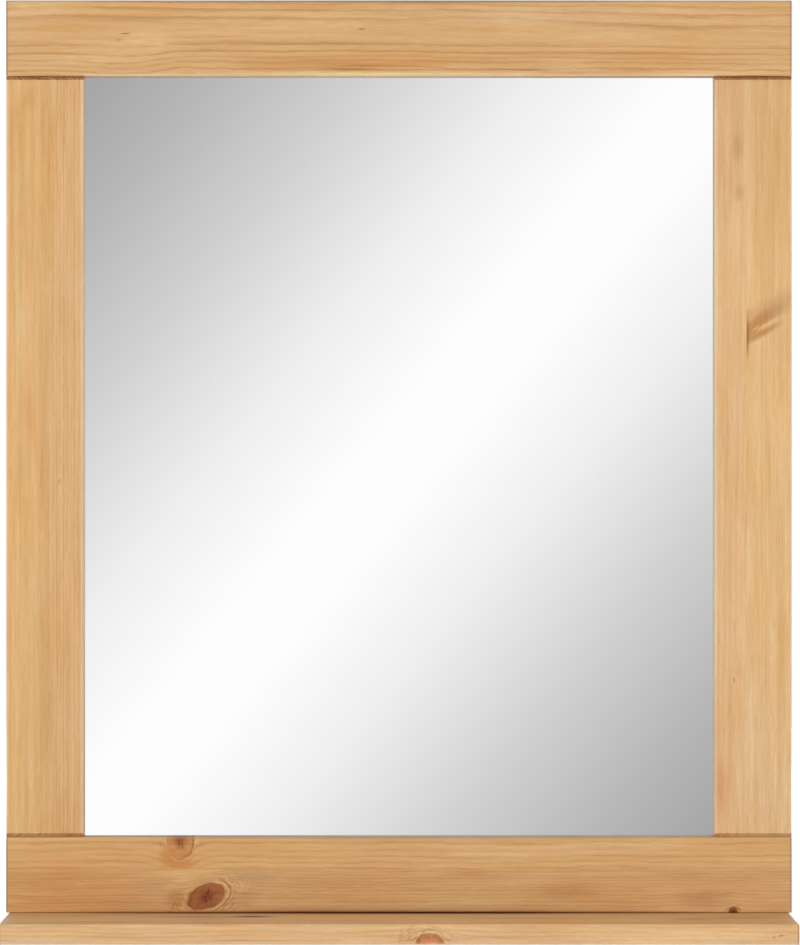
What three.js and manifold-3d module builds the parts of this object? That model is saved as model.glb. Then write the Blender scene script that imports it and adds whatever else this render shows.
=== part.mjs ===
import * as THREE from 'three';
import { RoundedBoxGeometry } from 'three/addons/geometries/RoundedBoxGeometry.js';
import { mergeVertices } from 'three/addons/utils/BufferGeometryUtils.js';
import Module from 'manifold-3d';

// A solid pine wall mirror with a shelf under it.
//
// Two rails run the full width, and two stiles stand between them on dowels. A mirror pane and a
// hardboard panel lie in a rebate behind, kept in by glazing points. The shelf is a board under
// the bottom rail, located by dowels and pulled up by screws from below. Two keyhole plates, let
// into the back of the top rail, hang it on the wall.
//
// Millimetres, +Z up, +X to the right, the front faces -Y. The back lies in the wall plane y = 0.
// The origin is midway between the two wall screws, at the height of their shanks.

// ---- the frame ----
const FRAME_WIDTH = 700;
const FRAME_HEIGHT = 813;
const FRAME_THICKNESS = 20;
const STILE_WIDTH = 69;
const RAIL_WIDTH = 67.5;
const ARRIS_RADIUS = 2;
const END_CHAMFER_LENGTH = 3.25;
const END_CHAMFER_DEPTH = 3;

// ---- the shelf ----
const SHELF_SETBACK = 2;
const SHELF_DEPTH = 120;
const SHELF_THICKNESS = 18;
const SHELF_ARRIS_RADIUS = 2.5;

// ---- the mirror pane and the panel behind it ----
const REBATE_WIDTH = 10;
const PANE_THICKNESS = 4;
const PANE_EDGE_BEVEL = 0.75;
const PANEL_THICKNESS = 3;
const EDGE_CLEARANCE = 1;

// ---- glazing points ----
const POINT_LENGTH = 16;
const POINT_WIDTH = 6;
const POINT_THICKNESS = 0.6;
const POINT_TAIL_WIDTH = 3;
const POINT_COVER = 1.1;
const POINT_END_DISTANCE = 90;
const POINTS_ON_A_RAIL = 2;
const POINTS_ON_A_STILE = 3;

// ---- dowels ----
const DOWEL_DIAMETER = 8;
const DOWEL_LENGTH = 35;
const DOWEL_CHAMFER = 1;
const DOWEL_FLUTES = 12;
const DOWEL_FLUTE_DEPTH = 0.3;
const DOWEL_EDGE_DISTANCE = 13.5;
const SHELF_DOWEL_IN_RAIL = 14;
const SHELF_DOWEL_IN_SHELF = 10;
const HOLE_END_ROOM = 1;

// ---- keyhole plates ----
const KEYHOLE_SLOT_WIDTH = 5;
const KEYHOLE_HEAD_DIAMETER = 10;
const KEYHOLE_DROP = 9;
const KEYHOLE_EDGE_DISTANCE = 90;
const PLATE_WIDTH = 46;
const PLATE_MARGIN = 4.75;
const PLATE_THICKNESS = 2;
const PLATE_CORNER_RADIUS = 3;
const PLATE_SCREW_END_DISTANCE = 7;
const POCKET_MARGIN = 3.5;
const POCKET_CORNER_RADIUS = 4;
const POCKET_FRONT_WALL = 8;

// ---- screws ----
const PLATE_SCREW_DIAMETER = 3.5;
const PLATE_SCREW_HEAD_DIAMETER = 7;
const PLATE_SCREW_FRONT_WALL = 6;
const SHELF_SCREW_DIAMETER = 4.5;
const SHELF_SCREW_HEAD_DIAMETER = 9;
const SHELF_SCREW_IN_RAIL = 32;
const SHELF_SCREW_END_DISTANCE = 58;
const SHELF_SCREWS = 4;
const SCREW_POINT_LENGTH = 4;
const CROSS_WIDTH = 0.9;
const CROSS_DEPTH = 1.3;
const HEAD_SINK = 0.3;

// ---- clearances and roundness ----
const CLEARANCE = 0.3;
const CONTACT_GAP = 0.1;
const ARRIS_STEPS = 4;
const ROUND_SIDES = 24;
const SCREW_SIDES = 16;

// ---- the keyhole, whose slot ends round the origin's height ----
const keyholeHeight = KEYHOLE_SLOT_WIDTH / 2 + KEYHOLE_DROP + KEYHOLE_HEAD_DIAMETER / 2;
const plateHeight = keyholeHeight + 2 * PLATE_MARGIN;
const plateZ = KEYHOLE_SLOT_WIDTH / 2 - keyholeHeight / 2;
const plateScrewX = PLATE_WIDTH / 2 - PLATE_SCREW_END_DISTANCE;
const keyholeX = FRAME_WIDTH / 2 - KEYHOLE_EDGE_DISTANCE;

// ---- the frame's heights, with the plates at the middle of the top rail's solid wood ----
const frameTop = plateZ + (RAIL_WIDTH - REBATE_WIDTH) / 2;
const frameBottom = frameTop - FRAME_HEIGHT;
const openingTop = frameTop - RAIL_WIDTH;
const openingBottom = frameBottom + RAIL_WIDTH;
const openingHeight = openingTop - openingBottom;
const openingZ = (openingTop + openingBottom) / 2;
const openingWidth = FRAME_WIDTH - 2 * STILE_WIDTH;
const boardY = -FRAME_THICKNESS / 2;
const stileX = (FRAME_WIDTH - STILE_WIDTH) / 2;

// ---- the rebate, from the back: points, panel, pane ----
const panelRecess = POINT_COVER + POINT_THICKNESS + CLEARANCE;
const pointY = -POINT_COVER - POINT_THICKNESS / 2;
const panelY = -panelRecess - PANEL_THICKNESS / 2;
const paneBackY = -panelRecess - PANEL_THICKNESS - CONTACT_GAP;
const rebateDepth = panelRecess + PANEL_THICKNESS + PANE_THICKNESS + 2 * CONTACT_GAP;
const rebateSpanX = openingWidth + 2 * REBATE_WIDTH;
const rebateSpanZ = openingHeight + 2 * REBATE_WIDTH;
const sheetWidth = rebateSpanX - 2 * EDGE_CLEARANCE;
const sheetHeight = rebateSpanZ - 2 * EDGE_CLEARANCE;
const sheetZ = openingZ - EDGE_CLEARANCE + CONTACT_GAP;

// ---- the shelf and its fixings ----
const shelfWidth = FRAME_WIDTH - 2 * SHELF_SETBACK;
const shelfTop = frameBottom - CONTACT_GAP;
const shelfBottom = shelfTop - SHELF_THICKNESS;
const shelfScrewSpan = shelfWidth - 2 * SHELF_SCREW_END_DISTANCE;
const shelfScrewPitch = shelfScrewSpan / (SHELF_SCREWS - 1);
const shelfDowelX = (shelfScrewSpan - shelfScrewPitch) / 2;

/** How far a cutting shape runs past the face that it cuts. */
const overcut = CLEARANCE;

const plateScrew = {
  headRadius: PLATE_SCREW_HEAD_DIAMETER / 2,
  shankRadius: PLATE_SCREW_DIAMETER / 2,
  length: FRAME_THICKNESS - PLATE_SCREW_FRONT_WALL - HEAD_SINK,
};
const shelfScrew = {
  headRadius: SHELF_SCREW_HEAD_DIAMETER / 2,
  shankRadius: SHELF_SCREW_DIAMETER / 2,
  length: SHELF_THICKNESS + SHELF_SCREW_IN_RAIL - HEAD_SINK,
};

// ---- finishes ----
const pine = { color: 0xd5a876, roughness: 0.5, metalness: 0 };
const beech = { color: 0xd2a883, roughness: 0.7, metalness: 0 };
const silveredGlass = { color: 0xdfe3e4, roughness: 0.04, metalness: 1 };
const hardboard = { color: 0x8a6446, roughness: 0.8, metalness: 0 };
const zincPlate = { color: 0xb9bcc0, roughness: 0.35, metalness: 1 };

const wasm = await Module();
wasm.setup();

// ---- solids ----

/** A closed geometry as a solid that can be cut. */
function toSolid(geometry) {
  const bare = geometry.clone();
  bare.deleteAttribute('normal');
  bare.deleteAttribute('uv');
  const merged = mergeVertices(bare);
  const vertProperties = merged.attributes.position.array;
  const triVerts = new Uint32Array(merged.index.array);
  return new wasm.Manifold(new wasm.Mesh({ numProp: 3, vertProperties, triVerts }));
}

/** A solid as a geometry. */
function toGeometry(solid) {
  const mesh = solid.getMesh();
  const geometry = new THREE.BufferGeometry();
  geometry.setAttribute('position', new THREE.BufferAttribute(mesh.vertProperties, 3));
  geometry.setIndex(new THREE.BufferAttribute(mesh.triVerts, 1));
  geometry.computeVertexNormals();
  return geometry;
}

/** The geometry with every tool cut out of it. */
function cut(geometry, tools) {
  const left = tools.reduce((solid, tool) => solid.subtract(toSolid(tool)), toSolid(geometry));
  return toGeometry(left);
}

/** Turns an extrusion so that its outline lies in YZ and its depth runs along +X. */
const depthAlongX = new THREE.Matrix4().set(0, 0, 1, 0, 1, 0, 0, 0, 0, 1, 0, 0, 0, 0, 0, 1);

/** Turns an extrusion so that its outline lies in XZ and its depth runs along -Y. */
const depthAlongMinusY = new THREE.Matrix4().makeRotationX(Math.PI / 2);

function box(x, y, z) {
  return new THREE.BoxGeometry(x, y, z);
}

/** A board about its middle, with rounded arrises all round. */
function easedBoard(x, y, z, radius) {
  return new RoundedBoxGeometry(x, y, z, ARRIS_STEPS, radius);
}

/** The outline of a rectangle with round corners, about the origin. */
function roundedOutline(width, height, radius) {
  const x = width / 2 - radius;
  const y = height / 2 - radius;
  const outline = new THREE.Shape();
  outline.absarc(x, y, radius, 0, Math.PI / 2);
  outline.absarc(-x, y, radius, Math.PI / 2, Math.PI);
  outline.absarc(-x, -y, radius, Math.PI, 1.5 * Math.PI);
  outline.absarc(x, -y, radius, 1.5 * Math.PI, 2 * Math.PI);
  return outline;
}

/** The outline of a polygon through the given points. */
function polygon(points) {
  return new THREE.Shape(points.map(([x, y]) => new THREE.Vector2(x, y)));
}

/** An outline extruded along +Z, from 0 to its depth. */
function extrude(outline, depth) {
  const curveSegments = ARRIS_STEPS / 2;
  return new THREE.ExtrudeGeometry(outline, { depth, bevelEnabled: false, curveSegments });
}

/** An outline extruded along +Z from 0, with its edges bevelled at both ends. */
function extrudeBevelled(outline, depth, bevel) {
  const settings = {
    depth: depth - 2 * bevel,
    bevelThickness: bevel,
    bevelSize: bevel,
    bevelOffset: -bevel,
    bevelSegments: 1,
  };
  return new THREE.ExtrudeGeometry(outline, settings).translate(0, 0, bevel);
}

/** A solid turned round the Z axis from [radius, height] pairs. */
function turned(profile, sides) {
  const points = profile.map(([radius, height]) => new THREE.Vector2(radius, height));
  return new THREE.LatheGeometry(points, sides).rotateX(Math.PI / 2);
}

/** A named mesh at its place, with a material of its own. */
function piece(name, geometry, finish, position, rotation = [0, 0, 0]) {
  const mesh = new THREE.Mesh(geometry, new THREE.MeshStandardMaterial(finish));
  mesh.name = name;
  mesh.position.set(...position);
  mesh.rotation.set(...rotation);
  return mesh;
}

// ---- dowels ----

/** A fluted dowel with chamfered ends, along +Z about its middle. */
function dowel(length) {
  const points = Array.from({ length: 2 * DOWEL_FLUTES }, (_, i) => {
    const angle = (i * Math.PI) / DOWEL_FLUTES;
    const radius = DOWEL_DIAMETER / 2 - (i % 2) * DOWEL_FLUTE_DEPTH;
    return [radius * Math.cos(angle), radius * Math.sin(angle)];
  });
  return extrudeBevelled(polygon(points), length, DOWEL_CHAMFER).translate(0, 0, -length / 2);
}

/** The hole that takes a dowel to a depth above a face at z = 0. */
function dowelHole(depth) {
  const radius = DOWEL_DIAMETER / 2 + CLEARANCE;
  const end = depth + HOLE_END_ROOM;
  return turned([[0, -overcut], [radius, -overcut], [radius, end], [0, end]], ROUND_SIDES);
}

/** The x places of one corner's two dowels, on the side of sign. */
function cornerDowelPlaces(sign) {
  return {
    outer: sign * (FRAME_WIDTH / 2 - DOWEL_EDGE_DISTANCE),
    inner: sign * (rebateSpanX / 2 + DOWEL_EDGE_DISTANCE),
  };
}

function addCornerDowels(group) {
  for (const [level, z] of [['top', openingTop], ['bottom', openingBottom]]) {
    for (const [side, sign] of [['left', -1], ['right', 1]]) {
      for (const [place, x] of Object.entries(cornerDowelPlaces(sign))) {
        const name = `dowel_${level}_${side}_${place}`;
        group.add(piece(name, dowel(DOWEL_LENGTH), beech, [x, boardY, z]));
      }
    }
  }
}

// ---- screws ----

/** A countersunk screw with a cross recess: its head's flat at z = 0, its point towards +Z. */
function screw({ headRadius, shankRadius, length }) {
  const body = turned([
    [0, 0],
    [headRadius, 0],
    [shankRadius, headRadius - shankRadius],
    [shankRadius, length - SCREW_POINT_LENGTH],
    [0, length],
  ], SCREW_SIDES);
  const arm = headRadius;
  const deep = 2 * CROSS_DEPTH;
  return cut(body, [box(arm, CROSS_WIDTH, deep), box(CROSS_WIDTH, arm, deep)]);
}

/** The countersink and hole for a screw whose head's flat is at z = 0, running towards +Z. */
function screwHole({ headRadius, shankRadius, length }) {
  const wide = headRadius + CLEARANCE;
  const narrow = shankRadius + CLEARANCE;
  const start = -HEAD_SINK - overcut;
  const end = length + HOLE_END_ROOM;
  return turned([
    [0, start],
    [wide, start],
    [wide, 0],
    [narrow, headRadius - shankRadius],
    [narrow, end],
    [0, end],
  ], SCREW_SIDES);
}

// ---- glazing points ----

/** Evenly spread places about 0, the outer ones a fixed distance from the ends of a length. */
function spread(count, length, endDistance) {
  const span = length - 2 * endDistance;
  return Array.from({ length: count }, (_, i) => (i / (count - 1) - 0.5) * span);
}

/** Each glazing point's board, its place on the rebate's wall, and the turn of its tip from +X. */
function glazingPointPlaces() {
  const alongRail = spread(POINTS_ON_A_RAIL, rebateSpanX, POINT_END_DISTANCE);
  const alongStile = spread(POINTS_ON_A_STILE, rebateSpanZ, POINT_END_DISTANCE);
  const wallX = rebateSpanX / 2;
  const wallZ = rebateSpanZ / 2;
  const up = -Math.PI / 2;
  return [
    ...alongRail.map((x) => ({ board: 'top_rail', x, z: openingZ + wallZ, turn: up })),
    ...alongRail.map((x) => ({ board: 'bottom_rail', x, z: openingZ - wallZ, turn: -up })),
    ...alongStile.map((z) => ({ board: 'left_stile', x: -wallX, z: openingZ + z, turn: 2 * up })),
    ...alongStile.map((z) => ({ board: 'right_stile', x: wallX, z: openingZ + z, turn: 0 })),
  ];
}

/** A flat diamond point in XZ about its middle, its sharp half towards +X. */
function glazingPoint() {
  const outline = polygon([
    [-POINT_LENGTH / 2, -POINT_TAIL_WIDTH / 2],
    [0, -POINT_WIDTH / 2],
    [POINT_LENGTH / 2, 0],
    [0, POINT_WIDTH / 2],
    [-POINT_LENGTH / 2, POINT_TAIL_WIDTH / 2],
  ]);
  const flat = extrude(outline, POINT_THICKNESS).translate(0, 0, -POINT_THICKNESS / 2);
  return flat.applyMatrix4(depthAlongMinusY);
}

/** The slits that the points of one board are driven into. */
function pointSlits(board) {
  return glazingPointPlaces()
    .filter((place) => place.board === board)
    .map(({ x, z, turn }) => {
      const room = 2 * CLEARANCE;
      const slit = box(POINT_LENGTH + room, POINT_THICKNESS + room, POINT_WIDTH + room);
      return slit.rotateY(turn).translate(x, pointY, z);
    });
}

function addGlazingPoints(group) {
  glazingPointPlaces().forEach(({ x, z, turn }, i) => {
    const name = `glazing_point_${String(i + 1).padStart(2, '0')}`;
    group.add(piece(name, glazingPoint(), zincPlate, [x, pointY, z], [0, turn, 0]));
  });
}

// ---- keyhole plates ----

/** A keyhole: a slot that ends round the origin, and a round head below it. */
function keyholeOutline() {
  const slot = KEYHOLE_SLOT_WIDTH / 2;
  const head = KEYHOLE_HEAD_DIAMETER / 2;
  const neck = Math.asin(slot / head);
  const outline = new THREE.Shape();
  outline.absarc(0, 0, slot, 0, Math.PI);
  outline.absarc(0, -KEYHOLE_DROP, head, Math.PI / 2 + neck, 2.5 * Math.PI - neck);
  return polygon(outline.getPoints(ROUND_SIDES / 4).map(({ x, y }) => [x, y]));
}

/** The holes for one plate's screws, about its hanging point. */
function plateScrewHoles() {
  return [-plateScrewX, plateScrewX].map((x) =>
    screwHole(plateScrew).rotateX(Math.PI / 2).translate(x, -HEAD_SINK, plateZ),
  );
}

/** A keyhole plate with its back at y = 0, about its hanging point. */
function keyholePlate() {
  const outline = roundedOutline(PLATE_WIDTH, plateHeight, PLATE_CORNER_RADIUS);
  const plate = extrude(outline, PLATE_THICKNESS).applyMatrix4(depthAlongMinusY);
  const keyhole = extrude(keyholeOutline(), PLATE_THICKNESS + 2 * overcut);
  keyhole.applyMatrix4(depthAlongMinusY).translate(0, overcut, 0);
  return cut(plate.translate(0, 0, plateZ), [keyhole, ...plateScrewHoles()]);
}

/** The recess, the screw heads' pocket and the screw holes for one plate, at x along the rail. */
function plateSeat(x) {
  const room = 2 * CLEARANCE;
  const margin = 2 * POCKET_MARGIN;
  const recess = extrude(
    roundedOutline(PLATE_WIDTH + room, plateHeight + room, PLATE_CORNER_RADIUS + CLEARANCE),
    PLATE_THICKNESS + CONTACT_GAP + overcut,
  );
  const pocket = extrude(
    roundedOutline(KEYHOLE_HEAD_DIAMETER + margin, keyholeHeight + margin, POCKET_CORNER_RADIUS),
    FRAME_THICKNESS - POCKET_FRONT_WALL + overcut,
  );
  const milled = [recess, pocket].map((shape) =>
    shape.applyMatrix4(depthAlongMinusY).translate(0, overcut, plateZ),
  );
  return [...milled, ...plateScrewHoles()].map((tool) => tool.translate(x, 0, 0));
}

function addKeyholePlates(group) {
  for (const [side, sign] of [['left', -1], ['right', 1]]) {
    const x = sign * keyholeX;
    group.add(piece(`hanger_plate_${side}`, keyholePlate(), zincPlate, [x, 0, 0]));
    [-plateScrewX, plateScrewX].forEach((offset, i) => {
      const place = [x + offset, -HEAD_SINK, plateZ];
      const turn = [Math.PI / 2, 0, 0];
      group.add(piece(`hanger_screw_${side}_${i + 1}`, screw(plateScrew), zincPlate, place, turn));
    });
  }
}

// ---- rails and stiles ----

/** The cutting shapes, moved from the part's frame into that of a board about its centre. */
function fromCentre(centre, tools) {
  return tools.map((tool) => tool.translate(-centre[0], -centre[1], -centre[2]));
}

/** The rebate for the pane and the panel, which all four boards share. */
function rebate() {
  const shape = box(rebateSpanX, rebateDepth + overcut, rebateSpanZ);
  return shape.translate(0, (overcut - rebateDepth) / 2, openingZ);
}

/** The dowel holes up into the boards above the joints at height z, or down where turn is pi. */
function cornerDowelHoles(signs, z, turn) {
  return signs.flatMap((sign) =>
    Object.values(cornerDowelPlaces(sign)).map((x) =>
      dowelHole(DOWEL_LENGTH / 2).rotateX(turn).translate(x, boardY, z),
    ),
  );
}

function topRail() {
  const centre = [0, boardY, frameTop - RAIL_WIDTH / 2];
  const board = easedBoard(FRAME_WIDTH, FRAME_THICKNESS, RAIL_WIDTH, ARRIS_RADIUS);
  const tools = fromCentre(centre, [
    rebate(),
    ...cornerDowelHoles([-1, 1], openingTop, 0),
    ...pointSlits('top_rail'),
    ...plateSeat(-keyholeX),
    ...plateSeat(keyholeX),
  ]);
  return piece('top_rail', cut(board, tools), pine, centre);
}

function bottomRail() {
  const centre = [0, boardY, frameBottom + RAIL_WIDTH / 2];
  const board = easedBoard(FRAME_WIDTH, FRAME_THICKNESS, RAIL_WIDTH, ARRIS_RADIUS);
  const tools = fromCentre(centre, [
    rebate(),
    ...cornerDowelHoles([-1, 1], openingBottom, Math.PI),
    ...pointSlits('bottom_rail'),
    ...shelfScrewHoles(),
    ...shelfDowelHoles(SHELF_DOWEL_IN_RAIL, frameBottom, 0),
  ]);
  return piece('bottom_rail', cut(board, tools), pine, centre);
}

/** The wedge that chamfers a stile's front edge at its upper end, about that edge's corner. */
function endChamfer() {
  const steepness = END_CHAMFER_LENGTH / END_CHAMFER_DEPTH;
  const wedge = polygon([
    [-overcut, overcut],
    [-overcut, -END_CHAMFER_LENGTH - overcut * steepness],
    [END_CHAMFER_DEPTH + overcut / steepness, overcut],
  ]);
  const width = STILE_WIDTH + 2 * overcut;
  return extrude(wedge, width).applyMatrix4(depthAlongX).translate(-width / 2, 0, 0);
}

/** A stile on the side of sign, a contact gap short of the rails at both ends. */
function stile(name, sign) {
  const centre = [sign * stileX, boardY, openingZ];
  const length = openingHeight - 2 * CONTACT_GAP;
  const board = extrude(roundedOutline(STILE_WIDTH, FRAME_THICKNESS, ARRIS_RADIUS), length);
  const tools = fromCentre(centre, [
    rebate(),
    ...cornerDowelHoles([sign], openingTop, Math.PI),
    ...cornerDowelHoles([sign], openingBottom, 0),
    ...pointSlits(name),
  ]);
  const chamfer = endChamfer().translate(0, -FRAME_THICKNESS / 2, length / 2);
  tools.push(chamfer, chamfer.clone().rotateY(Math.PI));
  return piece(name, cut(board.translate(0, 0, -length / 2), tools), pine, centre);
}

// ---- the mirror pane and the panel behind it ----

function mirrorPane() {
  const outline = polygon([
    [-sheetWidth / 2, -sheetHeight / 2],
    [sheetWidth / 2, -sheetHeight / 2],
    [sheetWidth / 2, sheetHeight / 2],
    [-sheetWidth / 2, sheetHeight / 2],
  ]);
  const sheet = extrudeBevelled(outline, PANE_THICKNESS, PANE_EDGE_BEVEL);
  const place = [0, paneBackY, sheetZ];
  return piece('mirror_pane', sheet.applyMatrix4(depthAlongMinusY), silveredGlass, place);
}

function backPanel() {
  const sheet = box(sheetWidth, PANEL_THICKNESS, sheetHeight);
  return piece('back_panel', sheet, hardboard, [0, panelY, sheetZ]);
}

// ---- the shelf ----

/** The x places of the shelf's screws, from left to right. */
function shelfScrewPlaces() {
  return spread(SHELF_SCREWS, shelfWidth, SHELF_SCREW_END_DISTANCE);
}

/** The shelf's screw holes, up through the shelf into the bottom rail. */
function shelfScrewHoles() {
  return shelfScrewPlaces().map((x) =>
    screwHole(shelfScrew).translate(x, boardY, shelfBottom + HEAD_SINK),
  );
}

/** The shelf's dowel holes, up into the board above height z, or down where turn is pi. */
function shelfDowelHoles(depth, z, turn) {
  return [-shelfDowelX, shelfDowelX].map((x) =>
    dowelHole(depth).rotateX(turn).translate(x, boardY, z),
  );
}

function shelfBoard() {
  const centre = [0, -SHELF_DEPTH / 2, (shelfTop + shelfBottom) / 2];
  const board = easedBoard(shelfWidth, SHELF_DEPTH, SHELF_THICKNESS, SHELF_ARRIS_RADIUS);
  const tools = fromCentre(centre, [
    ...shelfScrewHoles(),
    ...shelfDowelHoles(SHELF_DOWEL_IN_SHELF, shelfTop, Math.PI),
  ]);
  return piece('shelf_board', cut(board, tools), pine, centre);
}

function addShelfFixings(group) {
  shelfScrewPlaces().forEach((x, i) => {
    const place = [x, boardY, shelfBottom + HEAD_SINK];
    group.add(piece(`shelf_screw_${i + 1}`, screw(shelfScrew), zincPlate, place));
  });
  const length = SHELF_DOWEL_IN_RAIL + SHELF_DOWEL_IN_SHELF;
  const z = frameBottom + SHELF_DOWEL_IN_RAIL - length / 2;
  for (const [side, sign] of [['left', -1], ['right', 1]]) {
    const place = [sign * shelfDowelX, boardY, z];
    group.add(piece(`shelf_dowel_${side}`, dowel(length), beech, place));
  }
}

// ---- the whole mirror ----

const mirrorWithShelf = new THREE.Group();
mirrorWithShelf.add(topRail(), bottomRail(), stile('left_stile', -1), stile('right_stile', 1));
mirrorWithShelf.add(mirrorPane(), backPanel(), shelfBoard());
addCornerDowels(mirrorWithShelf);
addShelfFixings(mirrorWithShelf);
addKeyholePlates(mirrorWithShelf);
addGlazingPoints(mirrorWithShelf);

export default mirrorWithShelf;
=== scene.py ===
"""Dresses the pine wall mirror with its shelf: boards, glass, hardware and a plain studio.

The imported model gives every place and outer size. The pieces made here take their places from it,
and stand in for its plain solids with rounded arrises, real joints, turned screws and wood figure.

Blender's units are metres. Sizes in the boards' tables are millimetres from a board's centre:
along the grain, across it (up on a rail, to the right on a stile) and deep (towards the wall).
"""

import math
from typing import NamedTuple

import bmesh
import bpy
from bpy.props import FloatProperty, FloatVectorProperty, IntProperty, PointerProperty
from mathutils import Matrix, Vector


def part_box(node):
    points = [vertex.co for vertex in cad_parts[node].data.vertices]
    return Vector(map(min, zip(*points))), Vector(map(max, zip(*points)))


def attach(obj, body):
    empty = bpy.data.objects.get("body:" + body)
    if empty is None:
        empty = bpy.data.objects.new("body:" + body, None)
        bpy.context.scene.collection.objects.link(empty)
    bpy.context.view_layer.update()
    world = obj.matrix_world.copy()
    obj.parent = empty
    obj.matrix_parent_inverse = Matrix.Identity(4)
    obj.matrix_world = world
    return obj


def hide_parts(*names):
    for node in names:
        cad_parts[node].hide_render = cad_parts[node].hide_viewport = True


bl_info = {
    "name": "Mirror with Shelf",
    "version": (1, 0, 0),
    "blender": (4, 5, 0),
    "location": "View3D > Sidebar > Mirror",
    "description": "Builds the pine mirror's boards, glass, hardware and studio",
    "category": "Object",
}

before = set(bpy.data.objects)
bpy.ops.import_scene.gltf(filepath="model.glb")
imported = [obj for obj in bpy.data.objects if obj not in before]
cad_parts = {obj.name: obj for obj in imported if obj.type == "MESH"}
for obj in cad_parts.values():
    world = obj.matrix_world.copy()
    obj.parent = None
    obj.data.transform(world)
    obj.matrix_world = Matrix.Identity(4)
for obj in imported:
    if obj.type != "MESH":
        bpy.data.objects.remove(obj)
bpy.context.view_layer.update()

MM = 0.001
BODY = "root"

# Stands a form up: what ran up in it then runs towards the front.
STOOD_UP = Matrix.Rotation(math.radians(90), 4, "X")

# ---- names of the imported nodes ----
RAILS = ("top_rail", "bottom_rail")
STILES = ("left_stile", "right_stile")
SHELF = "shelf_board"
PANE = "mirror_pane"
PANEL = "back_panel"
PLATES = tuple(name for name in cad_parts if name.startswith("hanger_plate"))
PLATE_SCREWS = tuple(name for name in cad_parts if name.startswith("hanger_screw"))
SHELF_SCREWS = tuple(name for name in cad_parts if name.startswith("shelf_screw"))
DOWELS = tuple(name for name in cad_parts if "dowel" in name)
POINTS = tuple(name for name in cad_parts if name.startswith("glazing_point"))


# ---- colours ----

def channel(value):
    """One colour channel, 0 to 255 as a screen shows it, as the linear light that Blender uses."""
    share = value / 255
    return share / 12.92 if share <= 0.04045 else ((share + 0.055) / 1.055) ** 2.4


def paint(red, green, blue):
    """A colour given as a screen shows it."""
    return tuple(channel(value) for value in (red, green, blue))


def between(one, other, share):
    """The colour that lies a share of the way from one to the other."""
    return tuple(a + (b - a) * share for a, b in zip(one, other))


def shaded(colour, factor):
    return tuple(part * factor for part in colour)


# ---- what the boards look like ----

# Faces of the boards, in millimetres from their middles: deep at the front, and across at the shelf's top.
FRAME_FRONT = -10
SHELF_FRONT = -60
SHELF_TOP = 9

# Painted shade for the crevice between the bottom rail and the shelf.
PAINTED_CREVICE_SHADE = paint(86, 36, 4)
RUST = paint(150, 88, 40)
EMBER = shaded(RUST, 0.65)
BROWN = paint(176, 124, 76)
AMBER = paint(206, 144, 80)
RESIN = paint(200, 130, 66)
# Painted light for the shelf's up-facing top face.
TEAK = paint(184, 128, 70)
PAINTED_SHELF_TOP_LIGHT = paint(246, 190, 132)
HONEY = paint(230, 166, 92)
STRAW = paint(234, 204, 140)
CREAM = paint(234, 194, 142)
ROSE = paint(208, 150, 104)
SMOKE = paint(190, 150, 112)
PALE = paint(230, 206, 172)
# Grey for the dirty end edges, and painted shade on up-facing arrises.
END_DIRT_AND_ARRIS_SHADE = paint(148, 122, 96)
# Painted shade on the bottom rail's up-facing top arris.
PAINTED_UPPER_ARRIS_SHADE = paint(180, 160, 130)
HEARTWOOD = paint(96, 46, 22)


class Strip(NamedTuple):
    """One strip of a glued board: where its tree's pith lies, and how its rings show."""

    pith_across: float
    pith_deep: float
    ring_width: float
    contrast: float
    pinkness: float = 0.0
    brightness: float = 1.0
    richness: float = 1.0
    wave: float = 1.5
    pith_drift: float = 0.0


class Crack(NamedTuple):
    """A drying crack in a knot, which runs out from near the knot's middle at an angle from the grain."""

    start: float
    end: float
    angle: float
    width: float
    depth: float


class Knot(NamedTuple):
    """A branch cut across: an ellipse on the face, which tapers to nothing at its reach.

    Its rim is darkest towards one side and has a pale line towards another, as degrees from the grain.
    """

    along: float
    across: float
    half_length: float
    half_width: float
    colour: tuple
    core: tuple = HEARTWOOD
    tilt: float = 0.0
    strip: int = 0
    heart: float = 0.5
    heart_size: float = 0.5
    dark_side: float = 180.0
    dark: float = 0.5
    pale_side: float = 0.0
    pale: float = 0.5
    spread: float = 0.12
    ragged: float = 1.4
    push: float = 0.85
    front: float = FRAME_FRONT
    reach: float = 400.0
    cracks: tuple = ()


class Bend(NamedTuple):
    """A step in the rings: past it along the grain, they lie pushed across by so many millimetres."""

    along: float
    across: float
    half_length: float
    half_width: float
    push: float


class Patch(NamedTuple):
    """A soft-edged streak or cloud of another colour, for the wood's own tones and for painted light and
    shade.
    """

    along: float
    across: float
    half_length: float
    half_width: float
    colour: tuple
    strength: float
    tilt: float = 0.0
    strip: int = -1
    deep: float = 0.0
    half_depth: float = 1000.0
    grainy: float = 0.5


def top_streak(along, half_length, colour, strength, deep, half_depth):
    """A streak along the shelf's top face."""
    return Patch(
        along, SHELF_TOP, half_length, 4, colour, strength, deep=deep, half_depth=half_depth, grainy=1.0
    )


class Board(NamedTuple):
    """The figure of one board, as one strip or as two on either side of a glue line.

    Its long arrises carry painted highlights in two pale bands: that on the low side, and that on the high
    side. Each is so many millimetres wide, and reaches so far along the board from its middle.
    """

    strips: tuple
    upright: bool = False
    glue_line: float = 0.0
    knots: tuple = ()
    bends: tuple = ()
    patches: tuple = ()
    arris_light: tuple = (0.0, 0.0)
    arris_light_reach: float = 500.0
    seed: float = 0.0


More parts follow.
